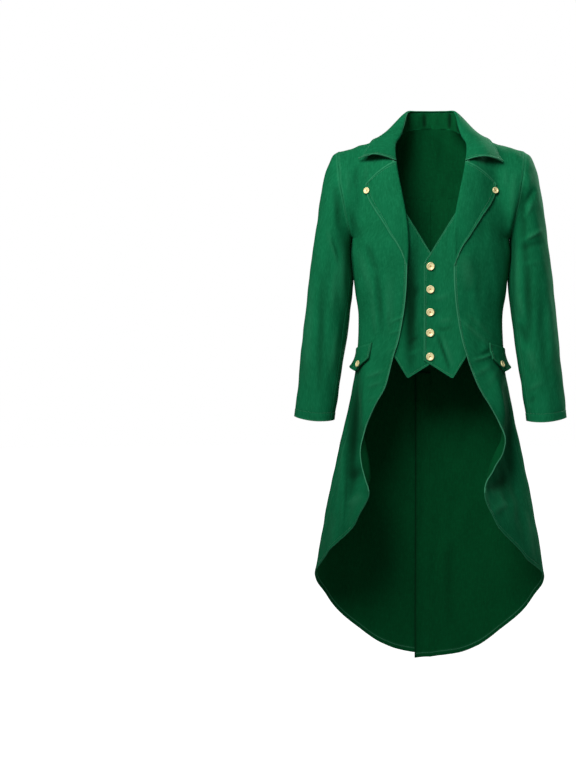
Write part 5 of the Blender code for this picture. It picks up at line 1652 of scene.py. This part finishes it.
def make_underlap():
    """The vent's inside band: it carries the left back's edge on behind the right one."""
    use = sizes()
    x = -UNDERLAP_OUT * spread(UNDERLAP_OUT, FOLD_LINES, FOLD_LINES)[None, :]
    low = TAIL_Z - VENT_HEM_STEP + UNDERLAP_LONGER * x / UNDERLAP_OUT
    down = spread(UNDERLAP_LENGTH, FOLD_LINES, by_edge(use.hem_stitch))[:, None]
    z = between(UNDERLAP_TOP, low, down)
    s = s_at(x + 0 * z, z)
    hem = through(HEM, np.abs(s))[..., 0]
    t = UNDERARM_T + (1 - UNDERARM_T) * (z - UNDERARM_Z) / (hem - UNDERARM_Z)
    normals = body_normals(s, t)
    sinks = VENT_SINK + UNDERLAP_CURL * eased((-x - CURL_FROM) / CURL_OVER)
    outer, creased = hung(body(s, t), normals, ALL_FRONT, ALL_BACK)
    outer -= normals * (sinks + 0 * z)[..., None]
    edges = {"bottom": use.hem_stitch, "first": "sewn", "last": "shaded", "top": "shaded"}
    tailored("vent_underlap", outer, normals, edges, use.cloth, creased, inside_rows=True)


BUTTON_SIZES = {"lapel": 0.0155, "front": 0.019, "flap": 0.016, "belt": 0.017, "cuff": 0.015}  # diameters
BUTTON_Z = (-0.317, -0.371, -0.425, -0.474, -0.530)
LAPEL_BUTTON, FLAP_BUTTON, BELT_BUTTON = (0.150, -0.1395), (-0.058, -0.549), (0.066, -0.429)
BUTTON_FOOT, BUTTON_ROOM = 0.80, 0.0002  # share of the radius that it stands on, and its clearance
FOOT_POINTS = 12  # round its foot, at which its height over the cloth is found
BUTTON_PROFILE = np.array([
    # share of the radius, share of the thickness: from the face's centre over the rim to the foot
    (0.00, 0.46), (0.11, 0.46), (0.17, 0.40), (0.21, 0.47), (0.30, 0.56), (0.46, 0.61), (0.60, 0.66),
    (0.69, 0.76), (0.75, 0.92), (0.82, 1.00), (0.90, 0.97), (0.97, 0.84), (1.00, 0.64), (0.98, 0.42),
    (0.91, 0.22), (0.84, 0.06), (BUTTON_FOOT, 0.00), (0.00, 0.00),
])


def round_foot(turned, radius):
    """Points round a button's foot, turned from the level by a matrix."""
    turns = np.linspace(0, 2 * math.pi, FOOT_POINTS, endpoint=False)
    return [turned @ Vector((math.cos(a), math.sin(a), 0)) * radius * BUTTON_FOOT for a in turns]


def make_button(node, kind, carrier, over, direction):
    """A turned button with a raised rim and a dished face, seated where a ray meets its carrier."""
    use = sizes()
    radius, thick = BUTTON_SIZES[kind] / 2, use.button_thick
    bm = bmesh.new()
    line = [bm.verts.new((x * radius, 0, z * thick)) for x, z in BUTTON_PROFILE]
    for a, b in zip(line, line[1:]):
        bm.edges.new((a, b))
    bmesh.ops.spin(
        bm, geom=bm.verts[:] + bm.edges[:], cent=(0, 0, 0), axis=(0, 0, 1), dvec=(0, 0, 0),
        angle=2 * math.pi, steps=use.button_steps, use_merge=True, use_duplicate=False,
    )
    bmesh.ops.remove_doubles(bm, verts=bm.verts[:], dist=0.00001)
    bmesh.ops.recalc_face_normals(bm, faces=bm.faces[:])
    face_out(bm)
    turned = bm.loops.layers.uv.new("turned")
    for face in bm.faces:
        face.smooth = True
        for loop in face.loops:
            x, y, _ = loop.vert.co
            loop[turned].uv = (math.hypot(x, y) / radius, 0.0)
    tree = tree_of(carrier)
    point, _ = cast(tree, np.array(over, float), direction)
    square = Vector(direction).to_track_quat("Z", "Y").to_matrix()
    around = [Vector(point) + rim for rim in round_foot(square, radius)]
    _, normals = cast(tree, np.array(around), direction)
    out = Vector(normals.mean(axis=0)).normalized()
    facing = out.to_track_quat("Z", "Y").to_matrix()
    height = 0.0
    for rim in round_foot(facing, radius):
        hit, _, _, distance = tree.ray_cast(Vector(point) + rim + out * 2 * thick, -out)
        height = max(height, 2 * thick - distance) if hit else height
    matrix = facing.to_4x4()
    matrix.translation = Vector(point) + out * (height + BUTTON_ROOM)
    bmesh.ops.transform(bm, matrix=matrix, verts=bm.verts[:])
    put("turned", finished(bm, node, "plated_button"), node)


def make_buttons():
    for i, z in enumerate(BUTTON_Z, 1):
        make_button(f"button_front_{i}", "front", "vest_front_left", (0, 0, z), BEHIND)
    for name, side in SIDES.items():
        x, z = LAPEL_BUTTON
        make_button(f"button_lapel_{name}", "lapel", f"lapel_{name}", (x * side, 0, z), BEHIND)
        flap = f"pocket_flap_{name}"
        make_button(f"button_flap_{name}", "flap", flap, (0, *FLAP_BUTTON), (-side, 0, 0))
        x, z = BELT_BUTTON
        make_button(f"button_belt_{name}", "belt", "back_strap", (x * side, 0, z), AHEAD)
        for i, v in enumerate(PLACKET_BUTTON_V, 1):
            x, _, z = sleeve(np.array(sum(PLACKET_W) / 2), np.array(v))
            placket = f"cuff_placket_{name}"
            make_button(f"button_cuff_{name}_{i}", "cuff", placket, (x * side, 0, z), AHEAD)


FLOOR_Z, FLOOR_RADIUS, FLOOR_SIDES, FLOOR_GLOW = -1.500, 9.0, 96, 0.86
CAMERA_AT, CAMERA_AIM = (0.0, -5.375, -0.300), (-0.3415, 0.0, -0.6005)
LENS, SENSOR = 105.0, 36.0
LIGHTS = (
    # name, place, aim, size, degrees of spread, watts
    ("key", (-0.9, -2.9, 1.7), (-0.02, 0.0, -0.05), 1.8, 46, 10.4),
    ("side", (-2.3, -1.7, 1.2), (-0.10, 0.0, -0.12), 0.9, 26, 1.2),
    ("back_key", (1.7, 2.45, 1.6), (0.06, 0.0, 0.05), 1.8, 32, 8.8),
    ("back_side", (2.3, 1.7, 1.2), (0.10, 0.0, -0.12), 0.9, 26, 1.2),
)
AMBIENT = 0.14  # the light from all round


def aimed(place, target):
    """The turn that points a light or a camera from its place to a target."""
    return (Vector(target) - Vector(place)).to_track_quat("-Z", "Y").to_euler()


def painted_floor():
    """A painted floor: it gives the eye an even pale ground that goes over into the white behind it."""
    material, tree, shader = started("painted_floor", Roughness=0.9, Specular_IOR_Level=0.0)
    shader.inputs["Base Color"].default_value = (*colours().floor, 1)
    shader.inputs["Emission Color"].default_value = (1, 1, 1, 1)
    place = add(tree, "ShaderNodeTexCoord").outputs["Object"]
    far = add(tree, "ShaderNodeVectorMath", {0: place}, operation="LENGTH").outputs["Value"]
    ends = {"From Max": FLOOR_RADIUS, "To Min": FLOOR_GLOW, "To Max": 1.0}
    glow = add(tree, "ShaderNodeMapRange", {"Value": far, **ends}).outputs["Result"]
    tree.links.new(glow, shader.inputs["Emission Strength"])
    material.cycles.emission_sampling = "NONE"
    return material


def make_floor():
    bm = bmesh.new()
    bmesh.ops.create_circle(bm, cap_ends=True, segments=FLOOR_SIDES, radius=FLOOR_RADIUS)
    floor = placed("studio_floor", finished(bm, "studio_floor", "painted_floor"), (0, 0, FLOOR_Z))
    floor.visible_diffuse = False


def make_lights():
    for name, place, target, size, spread_angle, watts in LIGHTS:
        light = bpy.data.lights.new(name, "AREA")
        light.shape, light.size, light.energy = "DISK", size, watts
        light.spread = math.radians(spread_angle)
        placed(name, light, place, aimed(place, target))


def make_world():
    """Soft even light from all round, and plain white behind the coat."""
    world = bpy.data.worlds.new("studio")
    world.use_nodes = True
    tree = world.node_tree
    tree.nodes.clear()
    seen = add(tree, "ShaderNodeLightPath").outputs["Is Camera Ray"]
    strength = add(tree, "ShaderNodeMapRange", {"Value": seen, "To Min": AMBIENT, "To Max": 1.0})
    white = {"Color": (1, 1, 1, 1), "Strength": strength.outputs["Result"]}
    shade = add(tree, "ShaderNodeBackground", white)
    add(tree, "ShaderNodeOutputWorld", {"Surface": shade.outputs["Background"]})
    bpy.context.scene.world = world


def make_camera():
    camera = placed("camera", bpy.data.cameras.new("camera"), CAMERA_AT, aimed(CAMERA_AT, CAMERA_AIM))
    camera.data.lens, camera.data.sensor_width = LENS, SENSOR
    bpy.context.scene.camera = camera


class COAT_OT_body(bpy.types.Operator):
    """Add the yoke, the backs and the fronts"""

    bl_idname = "coat.add_body"
    bl_label = "Body"

    def execute(self, context):
        make_yoke()
        for which in SIDES:
            make_back(which)
            make_front(which)
        return {"FINISHED"}


class COAT_OT_sleeves(bpy.types.Operator):
    """Add both two-piece sleeves"""

    bl_idname = "coat.add_sleeves"
    bl_label = "Sleeves"

    def execute(self, context):
        for which in SIDES:
            make_sleeve(which)
        return {"FINISHED"}


class COAT_OT_collar(bpy.types.Operator):
    """Add the collar's fall and stand"""

    bl_idname = "coat.add_collar"
    bl_label = "Collar"

    def execute(self, context):
        make_fall()
        make_stand()
        return {"FINISHED"}


class COAT_OT_lapels(bpy.types.Operator):
    """Add the lapels, turned back over the fronts"""

    bl_idname = "coat.add_lapels"
    bl_label = "Lapels"

    def execute(self, context):
        for which in SIDES:
            make_lapel(which)
        return {"FINISHED"}


class COAT_OT_waistcoat(bpy.types.Operator):
    """Add the false waistcoat inside the fronts"""

    bl_idname = "coat.add_waistcoat"
    bl_label = "Waistcoat"

    def execute(self, context):
        for which in SIDES:
            make_waistcoat(which)
        return {"FINISHED"}


class COAT_OT_trims(bpy.types.Operator):
    """Add the pocket flaps, the back strap, the cuff plackets and the vent's underlap"""

    bl_idname = "coat.add_trims"
    bl_label = "Flaps, strap and plackets"

    def execute(self, context):
        for which in SIDES:
            make_flap(which)
            make_placket(which)
        make_strap()
        make_underlap()
        return {"FINISHED"}


class COAT_OT_buttons(bpy.types.Operator):
    """Add the turned buttons where their CAD nodes are"""

    bl_idname = "coat.add_buttons"
    bl_label = "Buttons"

    def execute(self, context):
        make_buttons()
        return {"FINISHED"}


class COAT_OT_stage(bpy.types.Operator):
    """Add the floor, the lights and the camera"""

    bl_idname = "coat.add_stage"
    bl_label = "Stage"

    def execute(self, context):
        make_floor()
        make_lights()
        make_world()
        make_camera()
        context.scene.view_settings.view_transform = "Standard"
        return {"FINISHED"}


OPERATORS = (
    COAT_OT_body, COAT_OT_sleeves, COAT_OT_collar, COAT_OT_lapels, COAT_OT_waistcoat, COAT_OT_trims,
    COAT_OT_buttons, COAT_OT_stage,
)


class COAT_PT_panel(bpy.types.Panel):
    """The coat's pieces and sizes in the sidebar"""

    bl_idname = "COAT_PT_panel"
    bl_label = "Frock Coat"
    bl_space_type = "VIEW_3D"
    bl_region_type = "UI"
    bl_category = "Frock Coat"

    def draw(self, context):
        for operator in OPERATORS:
            self.layout.operator(operator.bl_idname)
        for group in (context.scene.coat_sizes, context.scene.coat_colours):
            for name in group.__annotations__:
                self.layout.prop(group, name)


CLASSES = (CoatSizes, CoatColours, *OPERATORS, COAT_PT_panel)


def register():
    for each in CLASSES:
        bpy.utils.register_class(each)
    bpy.types.Scene.coat_sizes = PointerProperty(type=CoatSizes)
    bpy.types.Scene.coat_colours = PointerProperty(type=CoatColours)


def unregister():
    del bpy.types.Scene.coat_sizes
    del bpy.types.Scene.coat_colours
    for each in reversed(CLASSES):
        bpy.utils.unregister_class(each)


def main():
    register()
    for operator in OPERATORS:
        group, name = operator.bl_idname.split(".")
        getattr(getattr(bpy.ops, group), name)()


if __name__ == "__main__":
    main()
